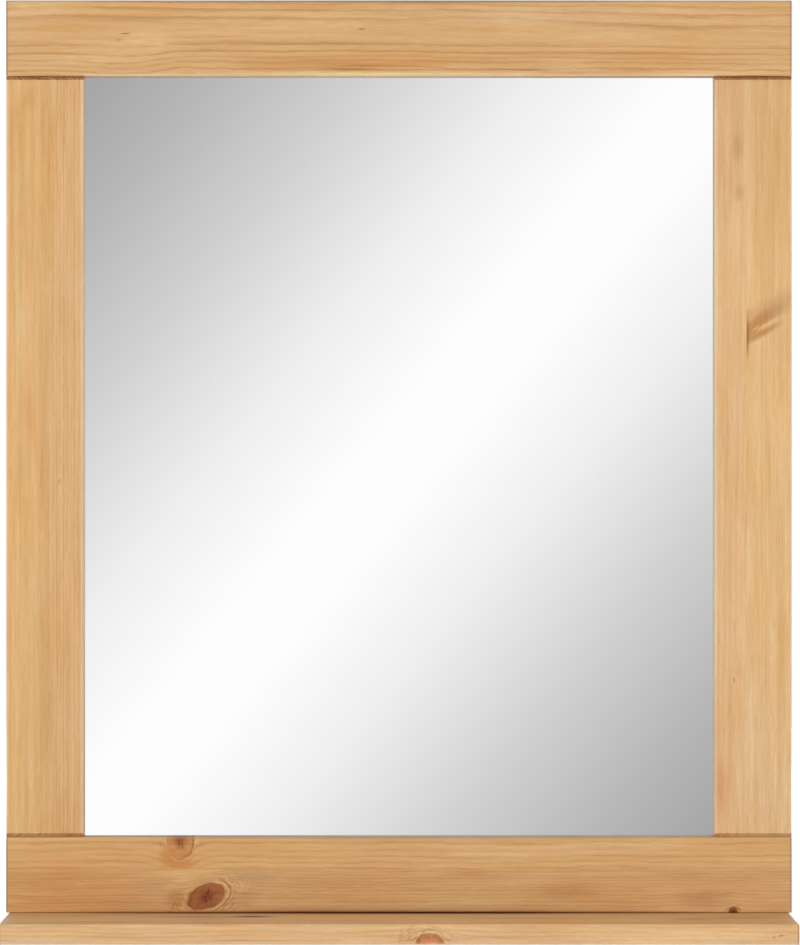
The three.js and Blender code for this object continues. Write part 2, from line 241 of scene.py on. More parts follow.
BOARDS = {
    "top_rail": Board(
        strips=(
            Strip(
                4, 12, 4.1, 0.75, pinkness=0.2, brightness=0.955, richness=1.04, wave=2.2, pith_drift=-6,
            ),
        ),
        bends=(
            Bend(-212, -20, 26, 16, 6),
            Bend(30, 12, 45, 11, 4),
            Bend(150, 10, 80, 14, -8),
        ),
        patches=(
            Patch(-30, -21, 190, 9, AMBER, 0.5, grainy=0.7),
            Patch(190, -16, 110, 14, AMBER, 0.25, grainy=0.9),
            Patch(-290, 12, 60, 14, AMBER, 0.3, grainy=0.9),
            Patch(-250, -12, 60, 16, CREAM, 0.35, grainy=0.9),
            Patch(-222, 0, 34, 9, CREAM, 0.5, grainy=0.6),
            Patch(130, 20, 280, 16, PALE, 0.15, grainy=0.6),
            Patch(-300, 28, 60, 4, STRAW, 0.4, grainy=0.9),
            Patch(-30, -31.6, 195, 2.6, STRAW, 0.75),
            Patch(-10, -28, 215, 1.3, RUST, 0.3, tilt=0.1),
            Patch(-45, -27.4, 46, 1.1, RUST, 0.6, tilt=-0.5),
            Patch(112, -28.3, 40, 1.0, RUST, 0.55, tilt=-0.6),
            Patch(90, -13.9, 70, 0.9, RUST, 0.35, tilt=-0.4),
            Patch(176, -21, 24, 0.8, RUST, 0.4),
            Patch(-244, 4.1, 7, 0.9, RUST, 0.9, tilt=3),
            Patch(-250, -1.5, 6, 1.5, BROWN, 0.5, tilt=8, grainy=0.8),
            Patch(-33, 8.2, 5, 1.3, RUST, 0.6, grainy=0.7),
            Patch(60, 25, 4, 0.6, RUST, 0.4),
            # Painted shade on the up-facing top arris.
            Patch(0, 34.3, 400, 4.4, END_DIRT_AND_ARRIS_SHADE, 0.95, deep=FRAME_FRONT, half_depth=7, grainy=0.2),
            # Painted light on the inner edge and lip face beside the mirror.
            Patch(0, -34, 284, 1.6, PALE, 1.0, deep=-4, half_depth=9, grainy=0.1),
            # Painted shade along the rail's edge in the joint grooves.
            Patch(-316, -34.4, 46, 1.6, BROWN, 0.6, grainy=0.3),
            Patch(316, -34.4, 46, 2.2, RUST, 0.8, grainy=0.3),
        ),
        arris_light=(3.2, 0.0),
        arris_light_reach=281,
        seed=3.0,
    ),
    "bottom_rail": Board(
        strips=(
            Strip(-90, 50, 2.4, 0.55, pinkness=0.25, brightness=0.91, richness=1.08, wave=1.6),
            Strip(80, 30, 4.6, 0.55, pinkness=0.0, brightness=0.97, richness=1.05, wave=2.0),
        ),
        glue_line=6.3,
        knots=(
            Knot(
                -195, 33, 11.8, 18.5, paint(212, 154, 98), paint(146, 80, 40), strip=1, heart=0.9,
                heart_size=0.95, dark_side=-25, dark=0.75, pale_side=60, pale=0.0, spread=0.25, ragged=4.5,
                cracks=(Crack(1, 12, 262, 0.9, 1.1), Crack(3, 13, 284, 0.8, 1.0)),
            ),
            Knot(
                -171, -19.3, 17.3, 10.6, paint(172, 112, 64), paint(124, 60, 26), tilt=24, heart=0.8,
                heart_size=0.85, dark_side=170, dark=0.6, pale_side=-12, pale=0.65, spread=0.35, ragged=1.8,
                cracks=(
                    Crack(-2, 11, 78, 1.1, 1.3),
                    Crack(-1, 9, 262, 1.0, 1.1),
                    Crack(-1, 9, 184, 1.0, 1.1),
                    Crack(-1, 6, 212, 0.8, 0.9),
                    Crack(-1, 7, 338, 0.8, 0.9),
                    Crack(1, 7, 12, 0.6, 0.7),
                ),
            ),
            Knot(
                297.5, -34, 4.2, 5, paint(158, 98, 52), paint(84, 36, 10), heart=0.9, heart_size=1.3,
                dark_side=60, dark=0.8, pale=0.0, spread=0.3, ragged=4.0,
            ),
        ),
        patches=(
            Patch(-206, 16, 12, 13, RESIN, 0.75, strip=1, grainy=0.4),
            Patch(-194, 9, 22, 6, RESIN, 0.8, strip=1, grainy=0.4),
            Patch(-196, 14, 60, 14, AMBER, 0.3, strip=1, grainy=0.9),
            Patch(-190, 2, 60, 6, STRAW, 0.25, strip=0, grainy=0.9),
            Patch(-128, -2, 36, 9, SMOKE, 0.45, strip=0, grainy=1.2),
            Patch(-221, -9, 22, 11, SMOKE, 0.3, strip=0, grainy=1.2),
            Patch(-190, -4, 26, 5, STRAW, 0.3, tilt=18, strip=0, grainy=0.8),
            Patch(-201, -27.5, 9, 0.9, RUST, 0.7, tilt=62, grainy=0.3),
            Patch(-197, -26.5, 8, 0.8, RUST, 0.6, tilt=64, grainy=0.3),
            Patch(-192.5, -29, 5, 0.8, CREAM, 0.6, tilt=64, grainy=0.3),
            Patch(-300, -10, 100, 46, AMBER, 0.4, grainy=0.6),
            Patch(150, -14, 40, 12, BROWN, 0.25, strip=0, grainy=1.2),
            Patch(272, -22, 34, 13, BROWN, 0.45, strip=0, grainy=1.2),
            Patch(303, -30.5, 4.5, 1.0, RUST, 0.7, tilt=-40, grainy=0.3),
            Patch(292.5, -31, 4, 0.9, RUST, 0.6, tilt=35, grainy=0.3),
            Patch(140, 24, 280, 13, PALE, 0.14, strip=1, grainy=0.6),
            Patch(-143, -21, 26, 12, BROWN, 0.35, strip=0, grainy=0.8),
            Patch(-199, -22, 13, 13, BROWN, 0.45, strip=0, grainy=0.8),
            Patch(255, 0, 40, 9, BROWN, 0.15, grainy=1.2),
            # Painted shade: the rail's lowest band darkens towards the shelf and is darkest along the
            # crevice.
            Patch(0, -34.4, 380, 8, RUST, 0.35, grainy=0.3),
            Patch(0, -34.6, 400, 3.9, PAINTED_CREVICE_SHADE, 1.0, grainy=0.2),
            # Painted shade on the up-facing top arris.
            Patch(0, 33.8, 380, 3.2, PAINTED_UPPER_ARRIS_SHADE, 0.85, deep=FRAME_FRONT, half_depth=7, grainy=0.3),
            # Painted light on the inner edge and lip face beside the mirror.
            Patch(0, 34.5, 284, 1.4, PALE, 1.0, deep=-2, half_depth=7, grainy=0.1),
            # Painted shade along the rail's edge in the joint groove.
            Patch(-316, 34.4, 44, 2.6, BROWN, 0.5, grainy=0.3),
        ),
        seed=11.0,
    ),
    "left_stile": Board(
        strips=(
            Strip(4, 52, 4.4, 0.3, pinkness=0.0, wave=1.2),
            Strip(90, 85, 1.9, 0.45, pinkness=0.25, richness=1.02, wave=0.5),
        ),
        upright=True,
        glue_line=6.3,
        patches=(
            Patch(0, -29.3, 400, 2.2, HONEY, 0.6, grainy=0.4),
            Patch(250, -29.3, 120, 2.6, ROSE, 0.4, grainy=0.6),
            Patch(0, -24.6, 420, 1.2, STRAW, 0.35, grainy=0.6),
            Patch(0, 5.2, 420, 1.6, CREAM, 0.4, grainy=0.6),
            Patch(318, -14, 14, 9, AMBER, 0.35, grainy=1.0),
            Patch(45, -12, 60, 14, AMBER, 0.2, grainy=1.0),
            Patch(-22, 13, 4, 2.2, BROWN, 0.45),
            # Painted light on the down-facing chamfer at the lower end, painted shade on the up-facing one
            # at the upper end.
            Patch(-340, 0, 6, 60, CREAM, 0.65, grainy=0.2),
            Patch(340, -6, 5.5, 34, RUST, 0.35, grainy=0.4),
            # Painted light on the inner edge and lip face beside the mirror.
            Patch(0, 34.7, 340, 1.5, PALE, 1.0, deep=-4, half_depth=9, grainy=0.1),
        ),
        arris_light=(2.8, 3.6),
        seed=23.0,
    ),
    "right_stile": Board(
        strips=(
            Strip(
                -70, 45, 3.4, 0.22, pinkness=0.3, brightness=1.02, richness=0.945, wave=1.6, pith_drift=12,
            ),
            Strip(-6, 30, 1.5, 0.25, pinkness=0.05, brightness=1.02, richness=0.95, wave=0.5),
        ),
        upright=True,
        glue_line=-5.7,
        patches=(
            Patch(330, 0, 170, 60, BROWN, 0.22, grainy=0.6),
            Patch(-290, 14, 150, 40, PALE, 0.24, grainy=0.6),
            Patch(131, 17, 38, 15, BROWN, 0.5, tilt=58, strip=1, grainy=0.2),
            Patch(123.5, 11, 13, 9, RESIN, 0.5, tilt=58, strip=1, grainy=0.2),
            Patch(121.5, 8, 30, 9, TEAK, 0.9, tilt=57, strip=1, grainy=0.2),
            Patch(127, -2.5, 8, 6, ROSE, 0.6, strip=1, grainy=0.2),
            Patch(112, 0, 16, 10, TEAK, 0.75, tilt=35, strip=1, grainy=0.2),
            Patch(110.5, 9, 26, 5, TEAK, 0.95, tilt=60, strip=1, grainy=0.2),
            Patch(118.6, 14, 17, 3, CREAM, 0.5, tilt=60, strip=1, grainy=0.2),
            Patch(114, 2, 6, 1.2, STRAW, 0.5, tilt=50, strip=1, grainy=0.5),
            Patch(107, -5.6, 27, 3.2, RUST, 0.9, strip=1, grainy=0.3),
            Patch(275, -14, 19, 8, BROWN, 0.4, strip=0, grainy=0.9),
            Patch(235, -12, 12, 7, BROWN, 0.35, strip=0, grainy=0.9),
            Patch(215, -24, 20, 4, BROWN, 0.2, strip=0, grainy=0.9),
            Patch(-199, -17, 4, 0.9, RUST, 0.7, tilt=-8),
            Patch(-150, -17, 9, 0.7, RUST, 0.35, tilt=-4),
            Patch(-295, -28, 46, 7, ROSE, 0.75, strip=0, grainy=0.9),
            Patch(-60, -5.9, 14, 0.6, RUST, 0.35),
            # Painted light on the down-facing chamfer at the lower end, painted shade on the up-facing one
            # at the upper end.
            Patch(-340, 0, 6, 70, CREAM, 0.7, grainy=0.2),
            Patch(340, 0, 5.5, 60, RUST, 0.95, grainy=0.4),
            # Painted light on the inner edge and lip face beside the mirror.
            Patch(0, -34.7, 340, 1.5, PALE, 1.0, deep=-4, half_depth=9, grainy=0.1),
            Patch(0, 34.5, 380, 1.6, END_DIRT_AND_ARRIS_SHADE, 0.4, deep=FRAME_FRONT, half_depth=7, grainy=0.3),
        ),
        arris_light=(3.6, 2.4),
        seed=37.0,
    ),
    "shelf_board": Board(
        strips=(Strip(-60, 10, 3.2, 0.55, pinkness=0.35, brightness=1.03, richness=0.95, wave=1.8),),
        knots=(
            Knot(
                26.5, -9.5, 12.5, 10.5, paint(198, 132, 78), paint(220, 138, 96), heart=0.9, heart_size=0.9,
                dark_side=90, dark=0.2, pale_side=100, pale=0.5, spread=0.45, front=SHELF_FRONT, reach=90,
                ragged=2.5,
            ),
        ),
        patches=(
            Patch(17, -5.5, 2.6, 4, RUST, 0.6, deep=SHELF_FRONT, half_depth=20, grainy=0.6),
            Patch(36.5, -5.4, 6, 2.6, RUST, 0.5, tilt=-25, deep=SHELF_FRONT, half_depth=20, grainy=0.6),
            Patch(29, -8.8, 7, 2.4, PALE, 0.9, deep=SHELF_FRONT, half_depth=20, grainy=0.4),
            Patch(2, -2, 4, 8, BROWN, 0.35, tilt=-12, deep=SHELF_FRONT, half_depth=20, grainy=0.5),
            # Painted light over the shelf's top face.
            Patch(0, SHELF_TOP, 500, 5, PAINTED_SHELF_TOP_LIGHT, 0.55, deep=-18, half_depth=90, grainy=0.4),
            Patch(-250, SHELF_TOP, 220, 4, PALE, 0.25, deep=-15, half_depth=60, grainy=0.6),
            top_streak(-300, 90, STRAW, 0.6, -25, 16),
            top_streak(-250, 90, AMBER, 0.45, -38, 9),
            top_streak(-185, 60, BROWN, 0.6, 6, 10),
            top_streak(-60, 80, SMOKE, 0.5, -30, 8),
            top_streak(40, 100, ROSE, 0.55, 14, 12),
            top_streak(100, 90, BROWN, 0.4, -8, 7),
            top_streak(200, 80, STRAW, 0.6, -22, 9),
            top_streak(262, 34, AMBER, 0.8, -14, 12),
            top_streak(304, 44, BROWN, 0.6, -5, 12),
            Patch(-131, SHELF_TOP, 32, 5, EMBER, 1.0, tilt=-1, deep=8, half_depth=13, grainy=0.4),
            # Painted shade on the shelf's top along the crevice under the bottom rail.
            Patch(0, SHELF_TOP, 400, 6, PAINTED_CREVICE_SHADE, 1.0, deep=42, half_depth=20, grainy=0.2),
            Patch(250, -2, 150, 12, CREAM, 0.7, grainy=0.8),
            # Painted highlights on the shelf front's lower and upper arrises.
            Patch(0, -9, 500, 2.4, PALE, 0.7, deep=SHELF_FRONT, half_depth=6, grainy=0.1),
            Patch(0, 6, 500, 1.7, CREAM, 0.5, deep=SHELF_FRONT, half_depth=4, grainy=0.4),
            Patch(332, -1, 4, 1.0, RUST, 0.7, tilt=12),
            Patch(326, -2.5, 1.6, 0.9, RUST, 0.8),
            Patch(-60, -2, 60, 5, CREAM, 0.25, grainy=1.0),
        ),
        arris_light=(4.4, 0.0),
        seed=51.0,
    ),
}


# ---- properties ----

def length(name, description, millimetres):
    return FloatProperty(
        name=name,
        description=description,
        default=millimetres * MM,
        min=0.0,
        subtype="DISTANCE",
        unit="LENGTH",
    )


def colour(name, description, default):
    return FloatVectorProperty(
        name=name, description=description, default=default, min=0.0, max=1.0, size=3, subtype="COLOR"
    )


def share(name, description, default):
    return FloatProperty(
        name=name, description=description, default=default, min=0.0, max=2.0, subtype="FACTOR"
    )


def watts(name, description, default):
    return FloatProperty(name=name, description=description, default=default, unit="POWER")


class MirrorSizes(bpy.types.PropertyGroup):
    """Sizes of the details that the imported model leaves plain."""

    arris: length("Frame arris", "Radius of the frame's long edges", 1.4)
    end_arris: length("Rail end arris", "Radius round the rails' ends", 0.8)
    shelf_arris: length("Shelf arris", "Radius of the shelf's long edges", 1.8)
    shelf_end_arris: length("Shelf end arris", "Radius round the shelf's ends", 1.6)
    arris_steps: IntProperty(name="Arris steps", description="Facets round an arris", default=6, min=1)
    chamfer_length: length("Chamfer length", "How far the stiles' end chamfers run along them", 3.25)
    chamfer_depth: length("Chamfer depth", "How deep the stiles' end chamfers are at the end", 3)
    rebate: length("Rebate width", "How far the frame laps over the mirror's edge", 10)
    clearance: length("Clearance", "Room around a piece in its hole", 0.3)


class MirrorColours(bpy.types.PropertyGroup):
    """Colours and strengths of the finishes."""

    pine_yellow: colour("Yellow pine", "Early wood of a yellowish strip", paint(221, 176, 118))
    pine_pink: colour("Pink pine", "Early wood of a pinkish strip", paint(221, 176, 134))
    pine_line: colour("Ring line", "Late wood", paint(174, 114, 58))
    pine_end: colour("End grain", "Oiled end grain", paint(190, 140, 86))
    figure: share("Figure", "How strongly the rings show", 1.0)
    fibre: share("Fibre", "How strongly the fibres show", 1.0)
    beech: colour("Beech", "Dowels", paint(210, 168, 131))
    hardboard: colour("Hardboard", "Back panel", paint(134, 97, 66))
    silver: colour("Mirror", "Silvering seen through the glass", (0.95, 0.955, 0.955))
    backing: colour("Mirror backing", "Paint behind the silvering", paint(112, 122, 124))
    zinc: colour("Zinc", "Plates, screws and glazing points", (0.62, 0.63, 0.65))


class StudioLooks(bpy.types.PropertyGroup):
    """The light around the mirror."""

    ambient: share("Surrounding light", "Light from all sides", 0.6)
    front: watts("Front light", "Power of the low front lamp", 14.9)
    side: watts("Side light", "Power of each side lamp", 11.5)
    back: watts("Back light", "Power of the lamp behind", 7.0)
    floor: colour("Floor", "Floor under the shelf", (0.9, 0.9, 0.9))
    lift: share("Floor lift", "How far the camera sees the floor lifted towards white", 0.58)
    dark_end: share("Reflection's dark end", "Grey at the dark ends of the reflected gradient", 0.37)


# ---- terms and finishes ----

class Term:
    """A value inside a material, so that a sum of nodes is written as a sum."""

    def __init__(self, finish, socket):
        self.finish = finish
        self.socket = socket

    def __add__(self, other):
        return self.finish.math("ADD", self, other)

    def __sub__(self, other):
        return self.finish.math("SUBTRACT", self, other)

    def __rsub__(self, other):
        return self.finish.math("SUBTRACT", other, self)

    def __mul__(self, other):
        return self.finish.math("MULTIPLY", self, other)

    def __truediv__(self, other):
        return self.finish.math("DIVIDE", self, other)

    def __abs__(self):
        return self.finish.math("ABSOLUTE", self)

    __radd__ = __add__
    __rmul__ = __mul__


class Finish:
    """A material whose nodes are made by short calls, in millimetres of the object's own frame."""

    def __init__(self, name, tree=None):
        if tree is None:
            self.material = bpy.data.materials.new(name)
            self.material.use_nodes = True
            tree = self.material.node_tree
            self.shader = tree.nodes["Principled BSDF"]
        self.tree = tree

    def set(self, socket, value):
        """Sets one of the shader's sockets to a term or to a plain value."""
        self.feed(self.shader.inputs[socket], value)

    def feed(self, socket, value):
        if isinstance(value, Term):
            self.tree.links.new(value.socket, socket)
        elif socket.type == "RGBA":
            socket.default_value = (*value, 1.0)
        else:
            socket.default_value = value

    def node(self, kind, output, settings, inputs):
        made = self.tree.nodes.new("ShaderNode" + kind)
        for name, value in settings.items():
            setattr(made, name, value)
        for name, value in inputs.items():
            self.feed(made.inputs[name], value)
        return Term(self, made.outputs[output])

    def math(self, operation, *values):
        inputs = dict(enumerate(values))
        return self.node("Math", 0, {"operation": operation}, inputs)

    def parts(self, coordinates):
        """The three terms of one of the texture coordinates."""
        vector = self.node("TexCoord", coordinates, {}, {})
        split = self.node("SeparateXYZ", "X", {}, {"Vector": vector}).socket.node
        return [Term(self, split.outputs[axis]) for axis in "XYZ"]

    def place(self):
        """The point being shaded, as three terms in millimetres."""
        return [part * 1000 for part in self.parts("Object")]

    def point(self, x, y, z):
        return self.node("CombineXYZ", 0, {}, {"X": x, "Y": y, "Z": z})

    def noise(self, x, y, z, detail=2.0, roughness=0.5):
        """Soft noise about 0.5, whose features are about 1 wide in the given terms."""
        inputs = {"Vector": self.point(x, y, z), "Scale": 1.0, "Detail": detail, "Roughness": roughness}
        return self.node("TexNoise", 0, {}, inputs)

    def chance(self, number):
        """A random value from 0 to 1 that is the same wherever the number is."""
        return self.node("TexWhiteNoise", 0, {"noise_dimensions": "1D"}, {"W": number})

    def fade(self, value, start, end):
        """0 at the start and 1 at the end, with a smooth passage."""
        settings = {"interpolation_type": "SMOOTHSTEP"}
        inputs = {"Value": value, "From Min": start, "From Max": end}
        return self.node("MapRange", 0, settings, inputs)

    def mix(self, factor, one, other):
        """The colour that lies a factor of the way from one to the other."""
        made = self.tree.nodes.new("ShaderNodeMix")
        made.data_type = "RGBA"
        self.feed(made.inputs["Factor"], factor)
        self.feed(made.inputs[6], one)
        self.feed(made.inputs[7], other)
        return Term(self, made.outputs[2])

    def bright(self, tint, factor):
        """The colour made lighter or darker by a term about 1."""
        made = self.tree.nodes.new("ShaderNodeVectorMath")
        made.operation = "SCALE"
        self.feed(made.inputs[0], tint)
        self.feed(made.inputs["Scale"], factor)
        return Term(self, made.outputs[0])

    def deep(self, tint, factor):
        """The colour as a layer thicker by the factor would show it: deeper above 1 and paler below."""
        return self.node("Gamma", 0, {}, {"Color": tint, "Gamma": factor})

    def relief(self, height):
        """Bends the surface as if it stood proud by a height in millimetres."""
        inputs = {"Height": height, "Distance": MM, "Strength": 1.0}
        self.set("Normal", self.node("Bump", "Normal", {}, inputs))


# ---- pine ----

# Lengths along the grain and widths across it, in millimetres.
FIBRE_LENGTH, FIBRE_WIDTH = 11.0, 0.42
GRAIN_LENGTH, GRAIN_WIDTH = 16.0, 1.5
STREAK_LENGTH, STREAK_WIDTH = 90.0, 4.0
CLOUD_LENGTH, CLOUD_WIDTH = 90.0, 20.0
CANAL_LENGTH, CANAL_WIDTH = 5.0, 0.4
WANDER_LENGTH, WANDER_WIDTH = 120.0, 45.0
FLUTTER_LENGTH, FLUTTER_WIDTH = 16.0, 6.0
SAW_LENGTH, SAW_WIDTH = 30.0, 1.2

# Shares of a ring where its late wood starts, is darkest, and ends.
LATE_START, LATE_DARKEST, LATE_END = 0.45, 0.93, 0.94

GLOSS = 0.32
# Strength of the painted highlights along the long arrises.
ARRIS_LIGHT_STRENGTH = 0.6


class PineFigure:
    """Writes one board's figure into a finish."""

    def __init__(self, name, board, looks):
        self.board = board
        self.looks = looks
        low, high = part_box(name)
        half = (high - low) / (2 * MM)
        along, across = (half.z, half.x) if board.upright else (half.x, half.z)
        self.half = (along, across, half.y)
        self.finish = Finish("pine_" + name)
        x, y, z = self.finish.place()
        self.along, self.across = (z, x) if board.upright else (x, z)
        self.deep = y
        self.second = 0.0
        if len(board.strips) > 1:
            self.second = self.finish.math("GREATER_THAN", self.across, board.glue_line)
        self.knots = [(knot, *self.knot_place(knot)) for knot in board.knots]

    def pick(self, field):
        """A field of the strip that the point lies in."""
        values = [getattr(strip, field) for strip in self.board.strips]
        if min(values) == max(values):
            return values[0]
        return values[0] + (values[1] - values[0]) * self.second

    def inside_strip(self, strip):
        """1 inside the numbered strip and 0 outside it."""
        if len(self.board.strips) < 2 or strip < 0:
            return 1.0
        return self.second if strip == 1 else 1.0 - self.second

    def offset(self, mark):
        """How far a point lies from a mark, in millimetres and then as shares of the mark's half sizes."""
        turn = math.radians(mark.tilt)
        left = self.along - mark.along
        up = self.across - mark.across
        along = (left * math.cos(turn) + up * math.sin(turn)) / mark.half_length
        across = (up * math.cos(turn) - left * math.sin(turn)) / mark.half_width
        return left, up, along, across

    def knot_place(self, knot):
        """How far a point lies from a knot, 1 at the rim, in which direction, and its offset across."""
        f = self.finish
        left, up, along, across = self.offset(knot)
        taper = f.math("MAXIMUM", 1.0 - (self.deep - knot.front) * (1 / knot.reach), 0.05)
        uneven = f.noise(left * 0.09, up * 0.09, self.deep * 0.05 + self.board.seed, 1.0)
        distance = f.math("SQRT", along * along + across * across) / taper * (0.88 + 0.24 * uneven)
        direction = f.math("ARCTAN2", up, left)
        return distance, direction, up

    def pushed_across(self):
        """Where the rings that pass a point lay before knots and bends pushed them aside."""
        f = self.finish
        pushed = self.across
        for knot, distance, _, up in self.knots:
            near = f.math("MAXIMUM", distance, 1.0)
            part = up / (near * near) * knot.push * self.inside_strip(knot.strip)
            pushed = pushed - part
        for bend in self.board.bends:
            step = f.fade(self.along, bend.along - bend.half_length, bend.along + bend.half_length)
            up = (self.across - bend.across) / bend.half_width
            pushed = pushed - bend.push * step * f.math("EXPONENT", 0.0 - up * up)
        return pushed

    def rings(self):
        """The late wood's strength, from 0 in early wood to 1 on a ring's dark line."""
        f = self.finish
        seed = self.board.seed
        wander = self.grain(WANDER_LENGTH, WANDER_WIDTH) - 0.5
        flutter = self.grain(FLUTTER_LENGTH, FLUTTER_WIDTH) - 0.5
        across = self.pushed_across() + wander * self.pick("wave") * 4 + flutter * 2.5
        across = across - self.pick("pith_across") - self.along * MM * self.pick("pith_drift")
        deep = self.deep - self.pick("pith_deep")
        radius = f.math("SQRT", across * across + deep * deep)
        count = radius / self.pick("ring_width")
        count = count + 1.3 * f.noise(count * 0.31, seed, 0.0, 1.0) + self.second * 7
        turn = f.math("FRACT", count)
        ring = f.math("FLOOR", count)
        line = f.fade(turn, LATE_START, LATE_DARKEST) * f.fade(turn, 1.0, LATE_END)
        strong = 0.45 + 0.55 * f.chance(ring + seed)
        alive = 0.55 + 0.9 * (f.noise(self.along / 70, ring * 3.7, seed, 1.0) - 0.25)
        return line * strong * alive

    def grain(self, length, width, shift=0.0, detail=2.0):
        """Noise drawn out along the grain."""
        across = self.across / width
        deep = self.deep / width + (self.board.seed + shift)
        return self.finish.noise(self.along / length, across, deep, detail)

    def by_strip(self, colours):
        """Each strip's own colour."""
        if len(colours) == 1:
            return colours[0]
        return self.finish.mix(self.second, *colours)

    def build(self):
        f = self.finish
        looks = self.looks
        strips = self.board.strips
        tints = [between(looks.pine_yellow, looks.pine_pink, strip.pinkness) for strip in strips]
        early = [shaded(tint, strip.brightness) for tint, strip in zip(tints, strips)]
        late = [between(tint, looks.pine_line, 0.8) for tint in early]
        rings = self.rings()
        fibre = self.grain(FIBRE_LENGTH, FIBRE_WIDTH)
        coarse = self.grain(GRAIN_LENGTH, GRAIN_WIDTH, 5.0)
        streak = self.grain(STREAK_LENGTH, STREAK_WIDTH, 9.0)
        cloud = self.grain(CLOUD_LENGTH, CLOUD_WIDTH, 13.0)
        warmth = self.grain(CLOUD_LENGTH, CLOUD_WIDTH / 2, 17.0)
        canal = f.fade(self.grain(CANAL_LENGTH, CANAL_WIDTH, 21.0, 0.0), 0.78, 0.9)

        contrast = self.pick("contrast") * looks.figure
        for _, distance, _, _ in self.knots:
            contrast = contrast * (1.0 + 0.8 * f.fade(distance, 2.6, 1.1))
        wood = f.mix(rings * contrast, self.by_strip(early), self.by_strip(late))
        # Painted highlights along the long arrises.
        wood = f.mix(self.painted_arris_light(), wood, PALE)
        x, _, z = f.parts("Normal")
        ends = f.fade(abs(z) if self.board.upright else abs(x), 0.35, 0.75)
        saw_place = (self.along / SAW_LENGTH, (self.across + self.deep) / SAW_WIDTH, self.deep / 6)
        saw = f.noise(*saw_place, 1.0)
        end_lines = f.fade(saw + 0.25 * rings, 0.5, 0.68)
        end_wood = f.mix(end_lines, looks.pine_end, shaded(looks.pine_end, 0.4))
        wood = f.mix(ends, wood, f.bright(end_wood, 0.8 + 0.4 * fibre))
        for knot, distance, direction, _ in self.knots:
            wood = self.add_knot(wood, knot, distance, direction)
        crevice_shade = 0.0
        for patch in self.board.patches:
            strength = self.patch_strength(patch, coarse)
            wood = f.mix(strength, wood, patch.colour)
            # The painted crevice shade also takes the gloss away there.
            if patch.colour == PAINTED_CREVICE_SHADE:
                crevice_shade = crevice_shade + strength
        depth = 0.35 * (cloud - 0.5) + 0.3 * (warmth - 0.5) + 0.25 * (streak - 0.5)
        depth = depth + looks.fibre * (0.09 * (coarse - 0.5) + 0.15 * (fibre - 0.5) + 0.14 * canal)
        light = 0.12 * (warmth - 0.5) - 0.2 * (streak - 0.5)
        light = light - looks.fibre * (0.12 * (coarse - 0.5) + 0.2 * canal)
        light = light - looks.fibre * 0.2 * (fibre - 0.5)
        wood = f.bright(f.deep(wood, self.pick("richness") + depth), 1.0 + light)
        wood = f.mix(0.75 * self.end_edge(), wood, END_DIRT_AND_ARRIS_SHADE)
        f.set("Base Color", wood)
        f.set("Roughness", 0.45 + 0.16 * (coarse - 0.5) - 0.06 * rings + 0.25 * ends)
        f.set("Specular IOR Level", GLOSS - GLOSS * crevice_shade)
        f.relief(0.012 * rings + 0.02 * fibre + 0.03 * coarse + 0.05 * streak)
        return f.material

    def insets(self):
        """How far the point lies inside the board's box along, across and deep."""
        places = (self.along, self.across, self.deep)
        return [half - abs(place) for half, place in zip(self.half, places)]

    def painted_arris_light(self):
        """Painted highlight: how far the wood is made pale along the board's long front arrises."""
        f = self.finish
        _, across, _ = self.insets()
        inward = across + f.math("MAXIMUM", self.deep + self.half[2], 0.0)
        low, high = (f.fade(inward, width, 0.2 * width) if width else 0.0 for width in self.board.arris_light)
        low = low * f.math("LESS_THAN", self.across, 0.0)
        high = high * f.math("GREATER_THAN", self.across, 0.0)
        reach = self.board.arris_light_reach
        return (low + high) * f.fade(abs(self.along), reach + 1.5, reach - 1.5) * ARRIS_LIGHT_STRENGTH

    def end_edge(self):
        """1 round the board's ends, where the cut fibres hold more oil and dust."""
        along, across, deep = self.insets()
        return self.finish.fade(along + self.finish.math("MINIMUM", across, deep), 2.2, 0.6)

    def patch_strength(self, patch, grain):
        """How strongly a patch colours the point, ragged along the grain."""
        f = self.finish
        _, _, along, across = self.offset(patch)
        inward = (self.deep - patch.deep) / patch.half_depth
        distance = f.math("SQRT", along * along + across * across + inward * inward)
        ragged = distance + patch.grainy * (grain - 0.5)
        return f.fade(ragged, 1.0, 0.1) * patch.strength * self.inside_strip(patch.strip)

    def add_knot(self, wood, knot, distance, direction):
        """The knot's heart, its rim, and the lines of the wood that grew round it."""
        f = self.finish
        here = self.inside_strip(knot.strip)
        mottle = f.noise(self.along / 4, self.across / 4, self.deep / 9 + knot.along, 3.0)
        dark_side = self.towards(direction, knot.dark_side)
        pale_side = self.towards(direction, knot.pale_side)
        round_x = f.math("COSINE", direction)
        round_y = f.math("SINE", direction)
        outward = (distance - 1.0) * knot.half_width + knot.ragged * (mottle - 0.5)
        lines = f.noise(outward / 1.3, round_x * 1.8, round_y * 1.8 + knot.along, 2.0)
        near = f.fade(distance, 1.0 + 5 * knot.spread, 1.0) * (0.3 + 0.7 * pale_side) * here
        wood = f.mix(near * f.fade(lines, 0.5, 0.68), wood, BROWN)
        wood = f.mix(near * f.fade(lines, 0.48, 0.34) * 0.8, wood, CREAM)
        rays = f.noise(round_x * 3.2, round_y * 3.2, knot.along, 1.0)
        heart = f.fade(distance * (0.45 + 1.1 * rays) + 0.5 * (mottle - 0.5), knot.heart_size, 0.0)
        inner = f.mix(f.fade(distance, 0.6, 1.0) * 0.4, knot.colour, shaded(knot.colour, 0.72))
        inner = f.mix(heart * knot.heart, inner, knot.core)
        inner = f.deep(inner, 0.7 + 0.4 * mottle + 0.3 * lines)
        wood = f.mix(f.fade(outward, 0.5, -0.5) * here, wood, inner)
        rim = f.fade(abs(outward), 0.9 + 0.9 * dark_side, 0.1) * here
